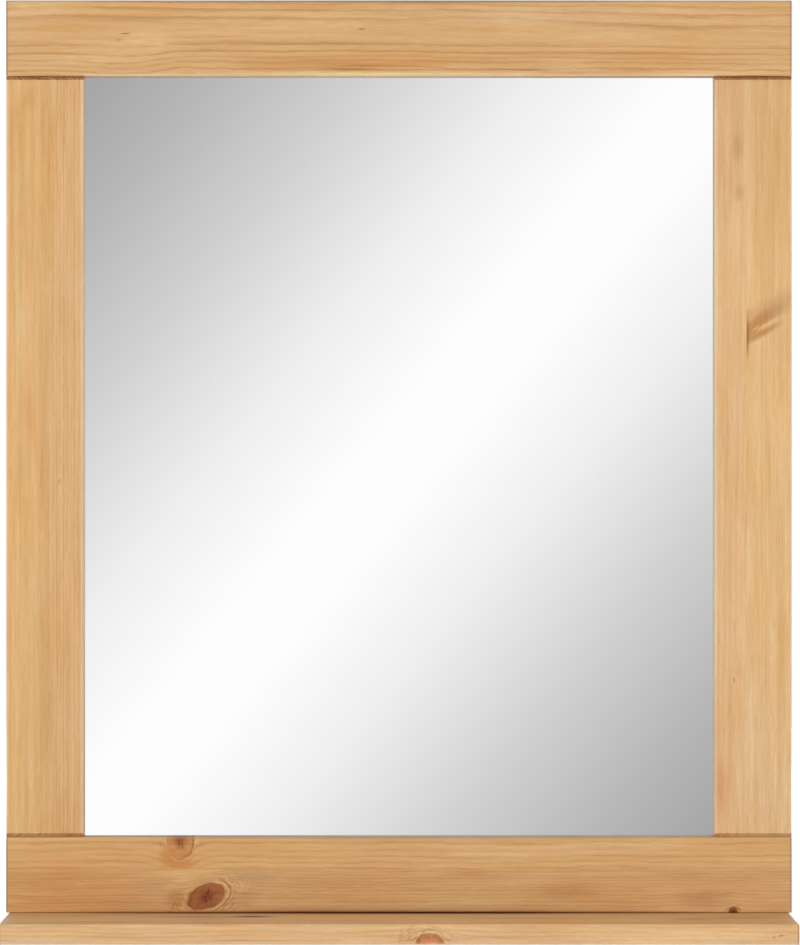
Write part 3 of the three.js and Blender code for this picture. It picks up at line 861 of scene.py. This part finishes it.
        wood = f.mix(rim * (0.15 + 0.85 * dark_side) * knot.dark, wood, shaded(RUST, 0.85))
        pale_line = f.fade(abs(outward - 1.3), 1.0, 0.1) * here
        wood = f.mix(pale_line * pale_side * knot.pale, wood, CREAM)
        dark_line = f.fade(abs(outward - 2.9), 1.1, 0.1) * here
        return f.mix(dark_line * pale_side * knot.pale * 0.7, wood, RUST)

    def towards(self, direction, side):
        """1 towards a side given in degrees, and 0 from a right angle away from it."""
        f = self.finish
        return f.fade(f.math("COSINE", direction - math.radians(side)), 0.1, 0.9)


# ---- other finishes ----

def beech_finish(looks):
    f = Finish("beech")
    x, y, z = f.place()
    fleck = f.noise(x / 0.5, y / 0.5, z / 4, 2.0)
    tone = f.noise(x / 3, y / 3, z / 14, 2.0)
    tint = f.mix(f.fade(fleck, 0.55, 0.75), looks.beech, shaded(looks.beech, 0.6))
    f.set("Base Color", f.bright(tint, 0.9 + 0.2 * tone))
    f.set("Roughness", 0.6 + 0.2 * fleck)
    f.relief(0.03 * fleck)
    return f.material


def hardboard_finish(looks):
    f = Finish("hardboard")
    x, y, z = f.place()
    fibres = f.noise(x / 1.6, y / 2, z / 0.9, 4.0, 0.7)
    crossing = f.noise(x / 0.7, y / 2 + 7, z / 1.9, 4.0, 0.7)
    clouds = f.noise(x / 60, y / 60, z / 60, 3.0)
    tangle = f.math("MAXIMUM", fibres, crossing)
    tint = f.mix(f.fade(tangle, 0.45, 0.75), shaded(looks.hardboard, 0.72), shaded(looks.hardboard, 1.25))
    f.set("Base Color", f.bright(tint, 0.8 + 0.4 * clouds))
    f.set("Roughness", 0.5 + 0.25 * fibres)
    f.relief(0.05 * tangle)
    return f.material


def zinc_finish(looks):
    f = Finish("zinc")
    x, y, z = f.place()
    brushed = f.noise(x / 6, y / 0.25, z / 0.25, 2.0)
    spangle = f.noise(x / 1.8, y / 1.8, z / 1.8, 3.0)
    warm = between(looks.zinc, (0.72, 0.66, 0.5), 0.5)
    tint = f.mix(f.fade(spangle, 0.45, 0.7), looks.zinc, warm)
    f.set("Base Color", f.bright(tint, 0.85 + 0.3 * brushed))
    f.set("Metallic", 1.0)
    f.set("Roughness", 0.26 + 0.2 * spangle)
    f.relief(0.004 * brushed + 0.01 * spangle)
    return f.material


def silvered_finish(looks):
    """The pane's face: silvering behind clear glass, almost without a ripple."""
    f = Finish("silvered_glass")
    x, y, z = f.place()
    haze = f.noise(x / 90, y / 90, z / 90, 2.0)
    f.set("Base Color", f.bright(looks.silver, 0.992 + 0.012 * haze))
    f.set("Metallic", 1.0)
    f.set("Roughness", 0.004 + 0.008 * haze)
    return f.material


def glass_edge_finish():
    """The pane's ground edge, green where the light runs along the glass."""
    f = Finish("ground_glass_edge")
    x, y, z = f.place()
    grind = f.noise(x / 1.2, y / 0.2, z / 1.2, 2.0)
    f.set("Base Color", f.mix(grind, paint(118, 158, 146), paint(190, 212, 204)))
    f.set("Roughness", 0.35 + 0.3 * grind)
    f.relief(0.01 * grind)
    return f.material


def backing_finish(looks):
    """The paint that protects the silvering, rolled on from behind."""
    f = Finish("mirror_backing")
    x, y, z = f.place()
    orange_peel = f.noise(x / 1.5, y / 1.5, z / 1.5, 2.0)
    sweep = f.noise(x / 200, y / 50, z / 12, 2.0)
    f.set("Base Color", f.bright(looks.backing, 0.9 + 0.2 * sweep))
    f.set("Roughness", 0.4 + 0.2 * orange_peel)
    f.relief(0.01 * orange_peel)
    return f.material


# ---- making meshes ----

HOLE_STEPS = 32
CORNER_STEPS = 8
END_STEPS = 3

# How far a cutter stands out of the face that it cuts.
OVER = 1 * MM


def mesh_object(name, form, place=(0, 0, 0)):
    """Turns a bmesh into an object at its place."""
    bmesh.ops.recalc_face_normals(form, faces=form.faces)
    mesh = bpy.data.meshes.new(name)
    form.to_mesh(mesh)
    form.free()
    made = bpy.data.objects.new(name, mesh)
    made.location = place
    bpy.context.collection.objects.link(made)
    return made


def prism(outline, low, high):
    """A bmesh between two heights over an outline of (x, y) points in the XY plane."""
    form = bmesh.new()
    bottom = [form.verts.new((x, y, low)) for x, y in outline]
    top = [form.verts.new((x, y, high)) for x, y in outline]
    form.faces.new(bottom[::-1])
    form.faces.new(top)
    count = len(outline)
    for i in range(count):
        j = (i + 1) % count
        form.faces.new((bottom[i], bottom[j], top[j], top[i]))
    return form


def turned(rings):
    """A bmesh from rings of points, closed by a face at both ends."""
    form = bmesh.new()
    rows = [[form.verts.new(point) for point in ring] for ring in rings]
    form.faces.new(rows[0][::-1])
    form.faces.new(rows[-1])
    count = len(rows[0])
    for row, following in zip(rows, rows[1:]):
        for i in range(count):
            j = (i + 1) % count
            form.faces.new((row[i], row[j], following[j], following[i]))
    return form


def ring(radii, height):
    """Points evenly round the Z axis, each at its own radius."""
    turns = (math.tau * i / len(radii) for i in range(len(radii)))
    return [(reach * math.cos(turn), reach * math.sin(turn), height) for reach, turn in zip(radii, turns)]


def circle(radius, height, steps):
    return ring([radius] * steps, height)


def arc(x, y, radius, start, end, steps):
    """Points on an arc between two angles in degrees."""
    turns = (math.radians(start + (end - start) * i / steps) for i in range(steps + 1))
    return [(x + radius * math.cos(turn), y + radius * math.sin(turn)) for turn in turns]


def rounded_rectangle(width, height, radius, steps):
    x = width / 2 - radius
    y = height / 2 - radius
    return (
        arc(x, y, radius, 0, 90, steps)
        + arc(-x, y, radius, 90, 180, steps)
        + arc(-x, -y, radius, 180, 270, steps)
        + arc(x, -y, radius, 270, 360, steps)
    )


def block(low, high):
    """A box between two corners, as a bmesh."""
    form = bmesh.new()
    bmesh.ops.create_cube(form, size=1.0)
    low = Vector(low)
    high = Vector(high)
    for vert in form.verts:
        vert.co = [low[i] + (vert.co[i] + 0.5) * (high[i] - low[i]) for i in range(3)]
    return form


def cutter(form):
    """An object that cuts another one and is then thrown away."""
    return mesh_object("cutter", form)


def finished_mesh(made):
    """The object's mesh with its modifiers worked in."""
    bpy.context.view_layer.update()
    graph = bpy.context.evaluated_depsgraph_get()
    mesh = bpy.data.meshes.new_from_object(made.evaluated_get(graph))
    mesh.name = made.name
    return mesh


def cut(made, cutters):
    """Takes the cutters, which stand in the model's frame, out of an object."""
    for tool in cutters:
        boolean = made.modifiers.new("cut", "BOOLEAN")
        boolean.operation = "DIFFERENCE"
        boolean.solver = "EXACT"
        boolean.object = tool
    mesh = finished_mesh(made)
    made.modifiers.clear()
    made.data = mesh
    for tool in cutters:
        bpy.data.objects.remove(tool, do_unlink=True)


def soften(made, width, steps=2, angle=35):
    """Breaks an object's sharp edges with a small bevel, worked into its mesh."""
    bevel = made.modifiers.new("soften", "BEVEL")
    bevel.width = width
    bevel.segments = steps
    bevel.limit_method = "ANGLE"
    bevel.angle_limit = math.radians(angle)
    bevel.use_clamp_overlap = True
    mesh = finished_mesh(made)
    made.modifiers.clear()
    made.data = mesh


def smooth(made, angle=28):
    """Shades rounded stretches smoothly and keeps flat faces flat."""
    made.data.shade_smooth()
    made.data.set_sharp_from_angle(angle=math.radians(angle))
    weighted = made.modifiers.new("flat faces", "WEIGHTED_NORMAL")
    weighted.keep_sharp = True


def stand_in(made, node, slot, *materials):
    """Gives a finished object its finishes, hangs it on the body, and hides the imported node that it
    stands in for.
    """
    made.data.materials.clear()
    for material in materials:
        made.data.materials.append(material)
    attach(made, BODY)
    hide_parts(node)


def middle(node):
    low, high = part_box(node)
    return (low + high) / 2


# ---- boards ----

PRESSED_GAP = 0.1 * MM
DOWEL_END_ROOM = 1 * MM
PLATE_RADIUS = 3 * MM
POCKET_WIDTH = 17 * MM
POCKET_HEIGHT = 23.5 * MM
POCKET_RADIUS = 4 * MM
POCKET_DEPTH = 12 * MM

# A crack's wedge stands out of the face by the lift, and is wider there by the spread.
CRACK_LIFT = 0.5 * MM
CRACK_SPREAD = 1.5


def eased_block(name, node, radius, end_radius, steps):
    """A board of a node's size about its middle, with its long arrises rounded and its ends eased."""
    low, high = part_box(node)
    half = (high - low) / 2
    upright = half.z > half.x
    run, width = (half.z, half.x) if upright else (half.x, half.z)
    end_steps = END_STEPS if end_radius > 0 else 0
    turns = [math.radians(90 * i / max(end_steps, 1)) for i in range(end_steps + 1)]
    sections = [(end_radius * (1 - math.cos(turn)), end_radius * (1 - math.sin(turn))) for turn in turns]
    rings = []
    for side, half_sections in ((-1, sections[::-1]), (1, sections)):
        for inset, back in half_sections:
            outline = rounded_rectangle(2 * (width - inset), 2 * (half.y - inset), radius - inset, steps)
            place = side * (run - back)
            rings.append([(u, v, place) if upright else (place, v, u) for u, v in outline])
    return mesh_object(name, turned(rings), (low + high) / 2)


def rebate_cutter(sizes):
    """The recess for the pane and the panel, which the four frame boards share."""
    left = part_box("left_stile")[1].x - sizes.rebate
    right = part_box("right_stile")[0].x + sizes.rebate
    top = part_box("top_rail")[0].z + sizes.rebate
    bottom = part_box("bottom_rail")[1].z - sizes.rebate
    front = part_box(PANE)[0].y - PRESSED_GAP
    return cutter(block((left, front, bottom), (right, OVER, top)))


def dowel_cutters(sizes, names):
    """Holes for the named dowels, with a little room at their ends."""
    tools = []
    for name in names:
        low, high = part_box(name)
        radius = (high.x - low.x) / 2 + sizes.clearance
        ends = (low.z - DOWEL_END_ROOM, high.z + DOWEL_END_ROOM)
        form = turned([circle(radius, z, HOLE_STEPS) for z in ends])
        centre = (low + high) / 2
        bmesh.ops.translate(form, vec=(centre.x, centre.y, 0), verts=form.verts)
        tools.append(cutter(form))
    return tools


def slit_cutters(sizes, names):
    """Slits for the named glazing points."""
    room = Vector((1, 1, 1)) * sizes.clearance
    return [cutter(block(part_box(name)[0] - room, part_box(name)[1] + room)) for name in names]


def screw_place(name):
    """A screw's head radius and its length, then the turn and the place of its head's face.

    The shelf's screws run up, and the plates' screws run towards the front.
    """
    low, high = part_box(name)
    centre = (low + high) / 2
    head = (high.x - low.x) / 2
    if name in PLATE_SCREWS:
        return head, high.y - low.y, STOOD_UP, Vector((centre.x, high.y, centre.z))
    return head, high.z - low.z, Matrix.Identity(4), Vector((centre.x, centre.y, low.z))


def screw_cutter(name, room):
    """The countersunk hole of a screw."""
    head, run, turn, place = screw_place(name)
    shank = head / 2
    profile = (
        (head + room, -OVER),
        (head + room, 0),
        (shank + room, head - shank),
        (shank + room, run + OVER),
    )
    form = turned([circle(radius, height, HOLE_STEPS) for radius, height in profile])
    form.transform(Matrix.Translation(place) @ turn)
    return cutter(form)


def plate_seat_cutters(sizes, plate):
    """The recess for a keyhole plate and the deeper pocket for the wall screw's head."""
    low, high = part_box(plate)
    centre = (low + high) / 2
    room = sizes.clearance
    width = high.x - low.x + 2 * room
    height = high.z - low.z + 2 * room
    seat = rounded_rectangle(width, height, PLATE_RADIUS + room, CORNER_STEPS)
    pocket = rounded_rectangle(POCKET_WIDTH, POCKET_HEIGHT, POCKET_RADIUS, CORNER_STEPS)
    tools = []
    for outline, depth in ((seat, high.y - low.y + PRESSED_GAP), (pocket, POCKET_DEPTH)):
        form = prism(outline, -OVER, depth)
        form.transform(Matrix.Translation((centre.x, 0, centre.z)) @ STOOD_UP)
        tools.append(cutter(form))
    return tools


def chamfer_cutters(sizes, stile):
    """Wedges that chamfer the front edge of a stile at both of its ends."""
    low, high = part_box(stile)
    slope = sizes.chamfer_length / sizes.chamfer_depth
    tools = []
    for end, inward in ((high.z, -1), (low.z, 1)):
        points = (
            (low.y - OVER, end - inward * OVER),
            (low.y - OVER, end + inward * (sizes.chamfer_length + OVER * slope)),
            (low.y + sizes.chamfer_depth + OVER / slope, end - inward * OVER),
        )
        form = prism(points, low.x - OVER, high.x + OVER)
        for vert in form.verts:
            y, z, x = vert.co
            vert.co = (x, y, z)
        tools.append(cutter(form))
    return tools


def crack_cutters(board, knot):
    """The drying cracks of a knot in a rail, as thin wedges that are widest half way along."""
    centre = middle(board)
    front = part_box(board)[0].y
    origin = Vector((centre.x + knot.along * MM, front, centre.z + knot.across * MM))
    lift = Vector((0, -CRACK_LIFT, 0))
    tools = []
    for crack in knot.cracks:
        form = bmesh.new()
        angle = math.radians(crack.angle)
        direction = Vector((math.cos(angle), 0, math.sin(angle)))
        side = Vector((-direction.z, 0, direction.x))
        near = origin + direction * crack.start * MM
        far = origin + direction * crack.end * MM
        mid = (near + far) / 2
        half = side * crack.width * MM / 2 * CRACK_SPREAD
        rim = [near + lift, mid - half + lift, far + lift, mid + half + lift]
        top = [form.verts.new(point) for point in rim]
        bottom = form.verts.new(mid + Vector((0, crack.depth * MM, 0)))
        form.faces.new(top)
        for i in range(4):
            form.faces.new((top[i], top[(i + 1) % 4], bottom))
        tools.append(cutter(form))
    return tools


def touching(names, board):
    """The named nodes whose boxes reach into a board's box."""
    low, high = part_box(board)
    found = []
    for name in names:
        a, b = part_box(name)
        if all(a[i] < high[i] and b[i] > low[i] for i in range(3)):
            found.append(name)
    return found


def make_board(node, context, arris, end_arris, tools=()):
    """One board, with its joints and seats cut, and its own figure."""
    sizes = context.scene.mirror_sizes
    board = BOARDS[node]
    made = eased_block(node + "_dressed", node, arris, end_arris, sizes.arris_steps)
    tools = [*tools, *dowel_cutters(sizes, touching(DOWELS, node))]
    tools += slit_cutters(sizes, touching(POINTS, node))
    tools += [screw_cutter(name, sizes.clearance) for name in touching(SHELF_SCREWS, node)]
    for plate in touching(PLATES, node):
        tools += plate_seat_cutters(sizes, plate)
    tools += [screw_cutter(name, sizes.clearance) for name in touching(PLATE_SCREWS, node)]
    if node in STILES:
        tools += chamfer_cutters(sizes, node)
    for knot in board.knots:
        tools += crack_cutters(node, knot)
    cut(made, tools)
    smooth(made)
    stand_in(made, node, "pine", PineFigure(node, board, context.scene.mirror_colours).build())


class MIRROR_OT_rails(bpy.types.Operator):
    """Makes the two rails, with their rebates, joints, screw holes and knots"""

    bl_idname = "mirror.rails"
    bl_label = "Rails"

    def execute(self, context):
        sizes = context.scene.mirror_sizes
        for node in RAILS:
            make_board(node, context, sizes.arris, sizes.end_arris, [rebate_cutter(sizes)])
        return {"FINISHED"}


class MIRROR_OT_stiles(bpy.types.Operator):
    """Makes the two stiles, with the chamfers that give the joints their grooves"""

    bl_idname = "mirror.stiles"
    bl_label = "Stiles"

    def execute(self, context):
        sizes = context.scene.mirror_sizes
        for node in STILES:
            make_board(node, context, sizes.arris, 0, [rebate_cutter(sizes)])
        return {"FINISHED"}


class MIRROR_OT_shelf(bpy.types.Operator):
    """Makes the shelf board, with the holes of its dowels and screws"""

    bl_idname = "mirror.shelf"
    bl_label = "Shelf"

    def execute(self, context):
        sizes = context.scene.mirror_sizes
        make_board(SHELF, context, sizes.shelf_arris, sizes.shelf_end_arris)
        return {"FINISHED"}


# ---- pane and panel ----

PANE_BEVEL = 0.7 * MM
PANEL_BEVEL = 0.3 * MM


def bevelled_sheet(node, bevel):
    low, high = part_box(node)
    half = (high - low) / 2
    form = block(-half, half)
    bmesh.ops.bevel(form, geom=form.edges[:], offset=bevel, segments=2, profile=0.5, affect="EDGES")
    return mesh_object(node + "_dressed", form, (low + high) / 2)


class MIRROR_OT_pane(bpy.types.Operator):
    """Makes the mirror pane: a silvered face, ground edges and a painted back"""

    bl_idname = "mirror.pane"
    bl_label = "Mirror pane"

    def execute(self, context):
        looks = context.scene.mirror_colours
        made = bevelled_sheet(PANE, PANE_BEVEL)
        finishes = (silvered_finish(looks), glass_edge_finish(), backing_finish(looks))
        stand_in(made, PANE, "silvered_glass", *finishes)
        for face in made.data.polygons:
            towards_wall = face.normal.y
            face.material_index = 0 if towards_wall < -0.99 else 2 if towards_wall > 0.99 else 1
        return {"FINISHED"}


class MIRROR_OT_panel(bpy.types.Operator):
    """Makes the hardboard panel behind the pane"""

    bl_idname = "mirror.panel"
    bl_label = "Back panel"

    def execute(self, context):
        made = bevelled_sheet(PANEL, PANEL_BEVEL)
        smooth(made)
        stand_in(made, PANEL, "hardboard", hardboard_finish(context.scene.mirror_colours))
        return {"FINISHED"}


# ---- hardware ----

SHELF_SCREW_PITCH = 2.2 * MM
PLATE_SCREW_PITCH = 1.6 * MM
SCREW_POINT = 4 * MM
SCREW_STEPS = 40
ROWS_A_TURN = 8
SCREW_SMOOTHING = 40
COUNTERSINK_ROOM = 0.2 * MM
THREAD_ROOM = 0.2 * MM
HEAD_EASE = 0.12 * MM
HEAD_RIM = 0.3 * MM
CROSS_LIFT = 0.5 * MM

# Shares of the head's radius, of the screw's length, of the shank's radius, and (the tip) of the core's.
HEAD_FACE = 0.94
CROSS_WIDTH, CROSS_REACH, CROSS_DEPTH = 0.26, 0.62, 0.5
PLAIN_SHANK = 0.3
NECK, CORE = 0.98, 0.66
TIP = 0.05

# How far the cross narrows at its floor.
CROSS_FLOOR_REACH, CROSS_FLOOR_WIDTH = 0.35, 0.7

KEYHOLE_SLOT = 2.5 * MM
KEYHOLE_HEAD = 5 * MM
KEYHOLE_DROP = 9 * MM
KEYHOLE_STEPS = 12
PLATE_CORNER_STEPS = 10
PLATE_BEVEL = 0.2 * MM
POINT_BEVEL = 0.12 * MM

FLUTES = 12
FLUTE_STEPS = 8
FLUTE_DEPTH = 0.4 * MM
DOWEL_CHAMFER = 1 * MM


def driver_cutters(head):
    """The two tapered arms of the cross in a screw's head, their mouths at z = 0."""
    arms = []
    for turn in (0, math.pi / 2):
        form = bmesh.new()
        for vert in bmesh.ops.create_cube(form, size=1.0)["verts"]:
            deep = vert.co.z > 0
            x = math.copysign(head * CROSS_REACH * (CROSS_FLOOR_REACH if deep else 1.0), vert.co.x)
            y = math.copysign(head * CROSS_WIDTH / 2 * (CROSS_FLOOR_WIDTH if deep else 1.0), vert.co.y)
            vert.co = (x, y, head * CROSS_DEPTH if deep else -CROSS_LIFT)
        bmesh.ops.rotate(form, cent=(0, 0, 0), matrix=Matrix.Rotation(turn, 3, "Z"), verts=form.verts)
        arms.append(cutter(form))
    return arms


def screw_form(head, run, pitch):
    """A countersunk wood screw from z = 0, its thread a helix round the lower part of its shank."""
    shank = head / 2
    core = shank * CORE
    plain = run * PLAIN_SHANK
    profile = (
        (head * HEAD_FACE, 0),
        (head, HEAD_EASE),
        (head, HEAD_RIM),
        (shank * NECK, head - shank + HEAD_RIM),
        (shank * NECK, plain),
    )
    rows = [circle(radius, height, SCREW_STEPS) for radius, height in profile]
    height = plain + THREAD_ROOM
    while height < run - THREAD_ROOM:
        limit = min(1.0, max((run - height) / SCREW_POINT, 0.06))
        phases = ((height / pitch - i / SCREW_STEPS) % 1.0 for i in range(SCREW_STEPS))
        crests = (max(0.0, 1.0 - abs(phase - 0.5) * 4) for phase in phases)
        rows.append(ring([(core + (shank - core) * crest) * limit for crest in crests], height))
        height += pitch / ROWS_A_TURN
    rows.append(circle(core * TIP, run, SCREW_STEPS))
    return turned(rows)


def make_screw(name, pitch, material):
    head, run, turn, place = screw_place(name)
    made = mesh_object(name + "_dressed", screw_form(head, run, pitch))
    cut(made, driver_cutters(head))
    made.data.transform(turn)
    made.location = place
    smooth(made, SCREW_SMOOTHING)
    stand_in(made, name, "zinc_plate", material)


class MIRROR_OT_screws(bpy.types.Operator):
    """Makes the shelf's screws and the screws of the keyhole plates"""

    bl_idname = "mirror.screws"
    bl_label = "Screws"

    def execute(self, context):
        zinc = shared_zinc(context)
        for name in SHELF_SCREWS:
            make_screw(name, SHELF_SCREW_PITCH, zinc)
        for name in PLATE_SCREWS:
            make_screw(name, PLATE_SCREW_PITCH, zinc)
        return {"FINISHED"}


def shared_zinc(context):
    return bpy.data.materials.get("zinc") or zinc_finish(context.scene.mirror_colours)


def keyhole_outline():
    """A slot that ends round the hanging point, over a round head hole."""
    neck = math.degrees(math.asin(KEYHOLE_SLOT / KEYHOLE_HEAD))
    slot = arc(0, 0, KEYHOLE_SLOT, 0, 180, KEYHOLE_STEPS)
    return slot + arc(0, -KEYHOLE_DROP, KEYHOLE_HEAD, 90 + neck, 450 - neck, 3 * KEYHOLE_STEPS)


class MIRROR_OT_plates(bpy.types.Operator):
    """Makes the keyhole plates that hang the mirror"""

    bl_idname = "mirror.plates"
    bl_label = "Keyhole plates"

    def execute(self, context):
        zinc = shared_zinc(context)
        for plate in PLATES:
            low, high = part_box(plate)
            centre = (low + high) / 2
            thickness = high.y - low.y
            outline = rounded_rectangle(high.x - low.x, high.z - low.z, PLATE_RADIUS, PLATE_CORNER_STEPS)
            form = prism(outline, 0, thickness)
            form.transform(STOOD_UP)
            made = mesh_object(plate + "_dressed", form, (centre.x, 0, centre.z))
            keyhole = prism(keyhole_outline(), -OVER, thickness + OVER)
            keyhole.transform(Matrix.Translation((centre.x, 0, 0)) @ STOOD_UP)
            tools = [cutter(keyhole)]
            tools += [screw_cutter(name, COUNTERSINK_ROOM) for name in touching(PLATE_SCREWS, plate)]
            cut(made, tools)
            soften(made, PLATE_BEVEL)
            smooth(made)
            stand_in(made, plate, "zinc_plate", zinc)
        return {"FINISHED"}


class MIRROR_OT_points(bpy.types.Operator):
    """Makes the glazing points that hold the panel in"""

    bl_idname = "mirror.points"
    bl_label = "Glazing points"

    def execute(self, context):
        zinc = shared_zinc(context)
        for name in POINTS:
            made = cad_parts[name].copy()
            made.data = made.data.copy()
            made.name = name + "_dressed"
            made.parent = None
            bpy.context.collection.objects.link(made)
            soften(made, POINT_BEVEL)
            smooth(made)
            stand_in(made, name, "zinc_plate", zinc)
        return {"FINISHED"}


def dowel_form(radius, run):
    """A fluted dowel about the origin, along Z."""
    steps = FLUTES * FLUTE_STEPS
    turns = [math.tau * i / steps for i in range(steps)]
    dips = [FLUTE_DEPTH * (0.5 - 0.5 * math.cos(FLUTES * turn)) ** 3 for turn in turns]
    end, shoulder = run / 2, run / 2 - DOWEL_CHAMFER
    profile = ((DOWEL_CHAMFER, -end), (0, -shoulder), (0, shoulder), (DOWEL_CHAMFER, end))
    return turned([ring([radius - inset - dip for dip in dips], height) for inset, height in profile])


class MIRROR_OT_dowels(bpy.types.Operator):
    """Makes the fluted dowels of the corner joints and the shelf"""

    bl_idname = "mirror.dowels"
    bl_label = "Dowels"

    def execute(self, context):
        beech = beech_finish(context.scene.mirror_colours)
        for name in DOWELS:
            low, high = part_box(name)
            form = dowel_form((high.x - low.x) / 2, high.z - low.z)
            made = mesh_object(name + "_dressed", form, (low + high) / 2)
            smooth(made)
            stand_in(made, name, "beech", beech)
        return {"FINISHED"}


# ---- studio ----

# Metres, but for the lens, its sensor and the floor's fade, which are millimetres.
FLOOR_HALF = 3.2
FLOOR_NEAR, FLOOR_FAR = 500, 1800
CAMERA_DISTANCE = 4.0
CAMERA_RIGHT = 0.94 * MM
CAMERA_DROP = 420.7 * MM
CAMERA_LENS = 171.03
SENSOR = 36.0
LIT_POINT = (0, 0, -0.4)

# The gradient that the mirror shows: its slant, shift and half width, and its greys from white to dark.
SLANT = math.radians(40)
SHIFT = 0.0018
HALF_FOLD = 0.115
WHITE_STOP, WHITE_LEVEL = 0.06, 1.03
GREY_STOPS = ((0.27, 0.9), (0.52, 0.67), (0.745, 0.5), (0.9, 0.41))

# The surrounding light below the horizon, how much of it is lost straight up, and the far floor's lift.
LOW_LIGHT, LOST_LIGHT = 1.3, 0.93
FAR_LIFT = 0.25


def make_camera():
    data = bpy.data.cameras.new("camera")
    data.lens = CAMERA_LENS
    data.sensor_width = SENSOR
    camera = bpy.data.objects.new("camera", data)
    low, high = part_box("top_rail")
    camera.location = (CAMERA_RIGHT, low.y - CAMERA_DISTANCE, high.z - CAMERA_DROP)
    camera.rotation_euler = (math.radians(90), 0, 0)
    bpy.context.collection.objects.link(camera)
    bpy.context.scene.camera = camera


def make_lamp(name, place, width, height, power):
    """A soft lamp that points at the mirror's middle and isn't reflected in it."""
    data = bpy.data.lights.new(name, "AREA")
    data.shape = "RECTANGLE"
    data.size = width
    data.size_y = height
    data.energy = power
    lamp = bpy.data.objects.new(name, data)
    lamp.location = place
    lamp.rotation_euler = (Vector(LIT_POINT) - Vector(place)).to_track_quat("-Z", "Y").to_euler()
    lamp.visible_glossy = False
    bpy.context.collection.objects.link(lamp)


def make_world(studio):
    """White behind the object, a plain level of light, and a soft diagonal gradient for reflections."""
    world = bpy.data.worlds.new("studio")
    world.use_nodes = True
    tree = world.node_tree
    f = Finish("studio", tree)
    x, y, z = f.parts("Generated")
    diagonal = x * math.cos(SLANT) - z * math.sin(SLANT) + SHIFT
    folded = f.math("PINGPONG", diagonal, HALF_FOLD)
    ramp = tree.nodes.new("ShaderNodeValToRGB")
    stops = ramp.color_ramp.elements
    stops[0].position = WHITE_STOP
    stops[0].color = (*[WHITE_LEVEL] * 3, 1)
    stops[1].position = 1.0
    stops[1].color = (*[studio.dark_end] * 3, 1)
    for position, level in GREY_STOPS:
        stops.new(position).color = (*[level] * 3, 1)
    f.feed(ramp.inputs[0], folded / HALF_FOLD)
    ahead = f.fade(0.0 - y, 0.1, 0.5)
    gradient = f.mix(ahead, (1, 1, 1), Term(f, ramp.outputs[0]))
    path = tree.nodes.new("ShaderNodeLightPath")
    camera = Term(f, path.outputs["Is Camera Ray"])
    glossy = Term(f, path.outputs["Is Glossy Ray"])
    level = studio.ambient * (LOW_LIGHT - LOST_LIGHT * f.math("MAXIMUM", z, 0.0))
    seen = f.mix(glossy, f.bright((1, 1, 1), level), gradient)
    seen = f.mix(camera, seen, (1, 1, 1))
    background = tree.nodes["Background"]
    f.feed(background.inputs["Color"], seen)
    background.inputs["Strength"].default_value = 1.0
    bpy.context.scene.world = world


def floor_finish(studio):
    f = Finish("floor")
    x, y, z = f.place()
    cloud = f.noise(x / 900, y / 900, z / 900, 2.0)
    far = f.fade(f.math("SQRT", x * x + y * y), FLOOR_NEAR, FLOOR_FAR)
    camera = f.node("LightPath", "Is Camera Ray", {}, {})
    f.set("Base Color", f.bright(studio.floor, 0.985 + 0.03 * cloud))
    f.set("Emission Color", (1, 1, 1))
    f.set("Emission Strength", camera * (studio.lift + FAR_LIFT * far))
    f.set("Roughness", 0.9)
    f.set("Specular IOR Level", 0.1)
    return f.material


class MIRROR_OT_studio(bpy.types.Operator):
    """Makes the floor, the light and the camera"""

    bl_idname = "mirror.studio"
    bl_label = "Studio"

    def execute(self, context):
        studio = context.scene.mirror_studio
        bpy.context.scene.view_settings.view_transform = "Standard"
        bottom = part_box(SHELF)[0].z
        form = bmesh.new()
        bmesh.ops.create_grid(form, x_segments=8, y_segments=8, size=FLOOR_HALF)
        floor = mesh_object("floor", form, (0, 0, bottom))
        floor.data.materials.append(floor_finish(studio))
        floor.visible_glossy = False
        make_lamp("low_front", (0, -2.4, -0.6), 3.0, 0.36, studio.front)
        for side in (-1, 1):
            make_lamp("side", (side * 1.7, -1.0, -0.45), 0.7, 1.6, studio.side)
        make_lamp("back", (0, 2.2, -0.2), 1.8, 1.2, studio.back)
        make_world(studio)
        make_camera()
        return {"FINISHED"}


# ---- panel and registration ----

OPERATORS = (
    MIRROR_OT_rails,
    MIRROR_OT_stiles,
    MIRROR_OT_shelf,
    MIRROR_OT_pane,
    MIRROR_OT_panel,
    MIRROR_OT_plates,
    MIRROR_OT_screws,
    MIRROR_OT_dowels,
    MIRROR_OT_points,
    MIRROR_OT_studio,
)


class MIRROR_PT_sidebar(bpy.types.Panel):
    """Lists the mirror's properties and its making steps"""

    bl_idname = "MIRROR_PT_sidebar"
    bl_label = "Mirror with Shelf"
    bl_space_type = "VIEW_3D"
    bl_region_type = "UI"
    bl_category = "Mirror"

    def draw(self, context):
        scene = context.scene
        for group in (scene.mirror_sizes, scene.mirror_colours, scene.mirror_studio):
            for name in group.__annotations__:
                self.layout.prop(group, name)
        for operator in OPERATORS:
            self.layout.operator(operator.bl_idname)


CLASSES = (MirrorSizes, MirrorColours, StudioLooks, *OPERATORS, MIRROR_PT_sidebar)


def register():
    for made in CLASSES:
        bpy.utils.register_class(made)
    bpy.types.Scene.mirror_sizes = PointerProperty(type=MirrorSizes)
    bpy.types.Scene.mirror_colours = PointerProperty(type=MirrorColours)
    bpy.types.Scene.mirror_studio = PointerProperty(type=StudioLooks)


def unregister():
    del bpy.types.Scene.mirror_studio
    del bpy.types.Scene.mirror_colours
    del bpy.types.Scene.mirror_sizes
    for made in reversed(CLASSES):
        bpy.utils.unregister_class(made)


def main():
    register()
    for operator in OPERATORS:
        step = operator.bl_idname.removeprefix("mirror.")
        getattr(bpy.ops.mirror, step)()


if __name__ == "__main__":
    main()
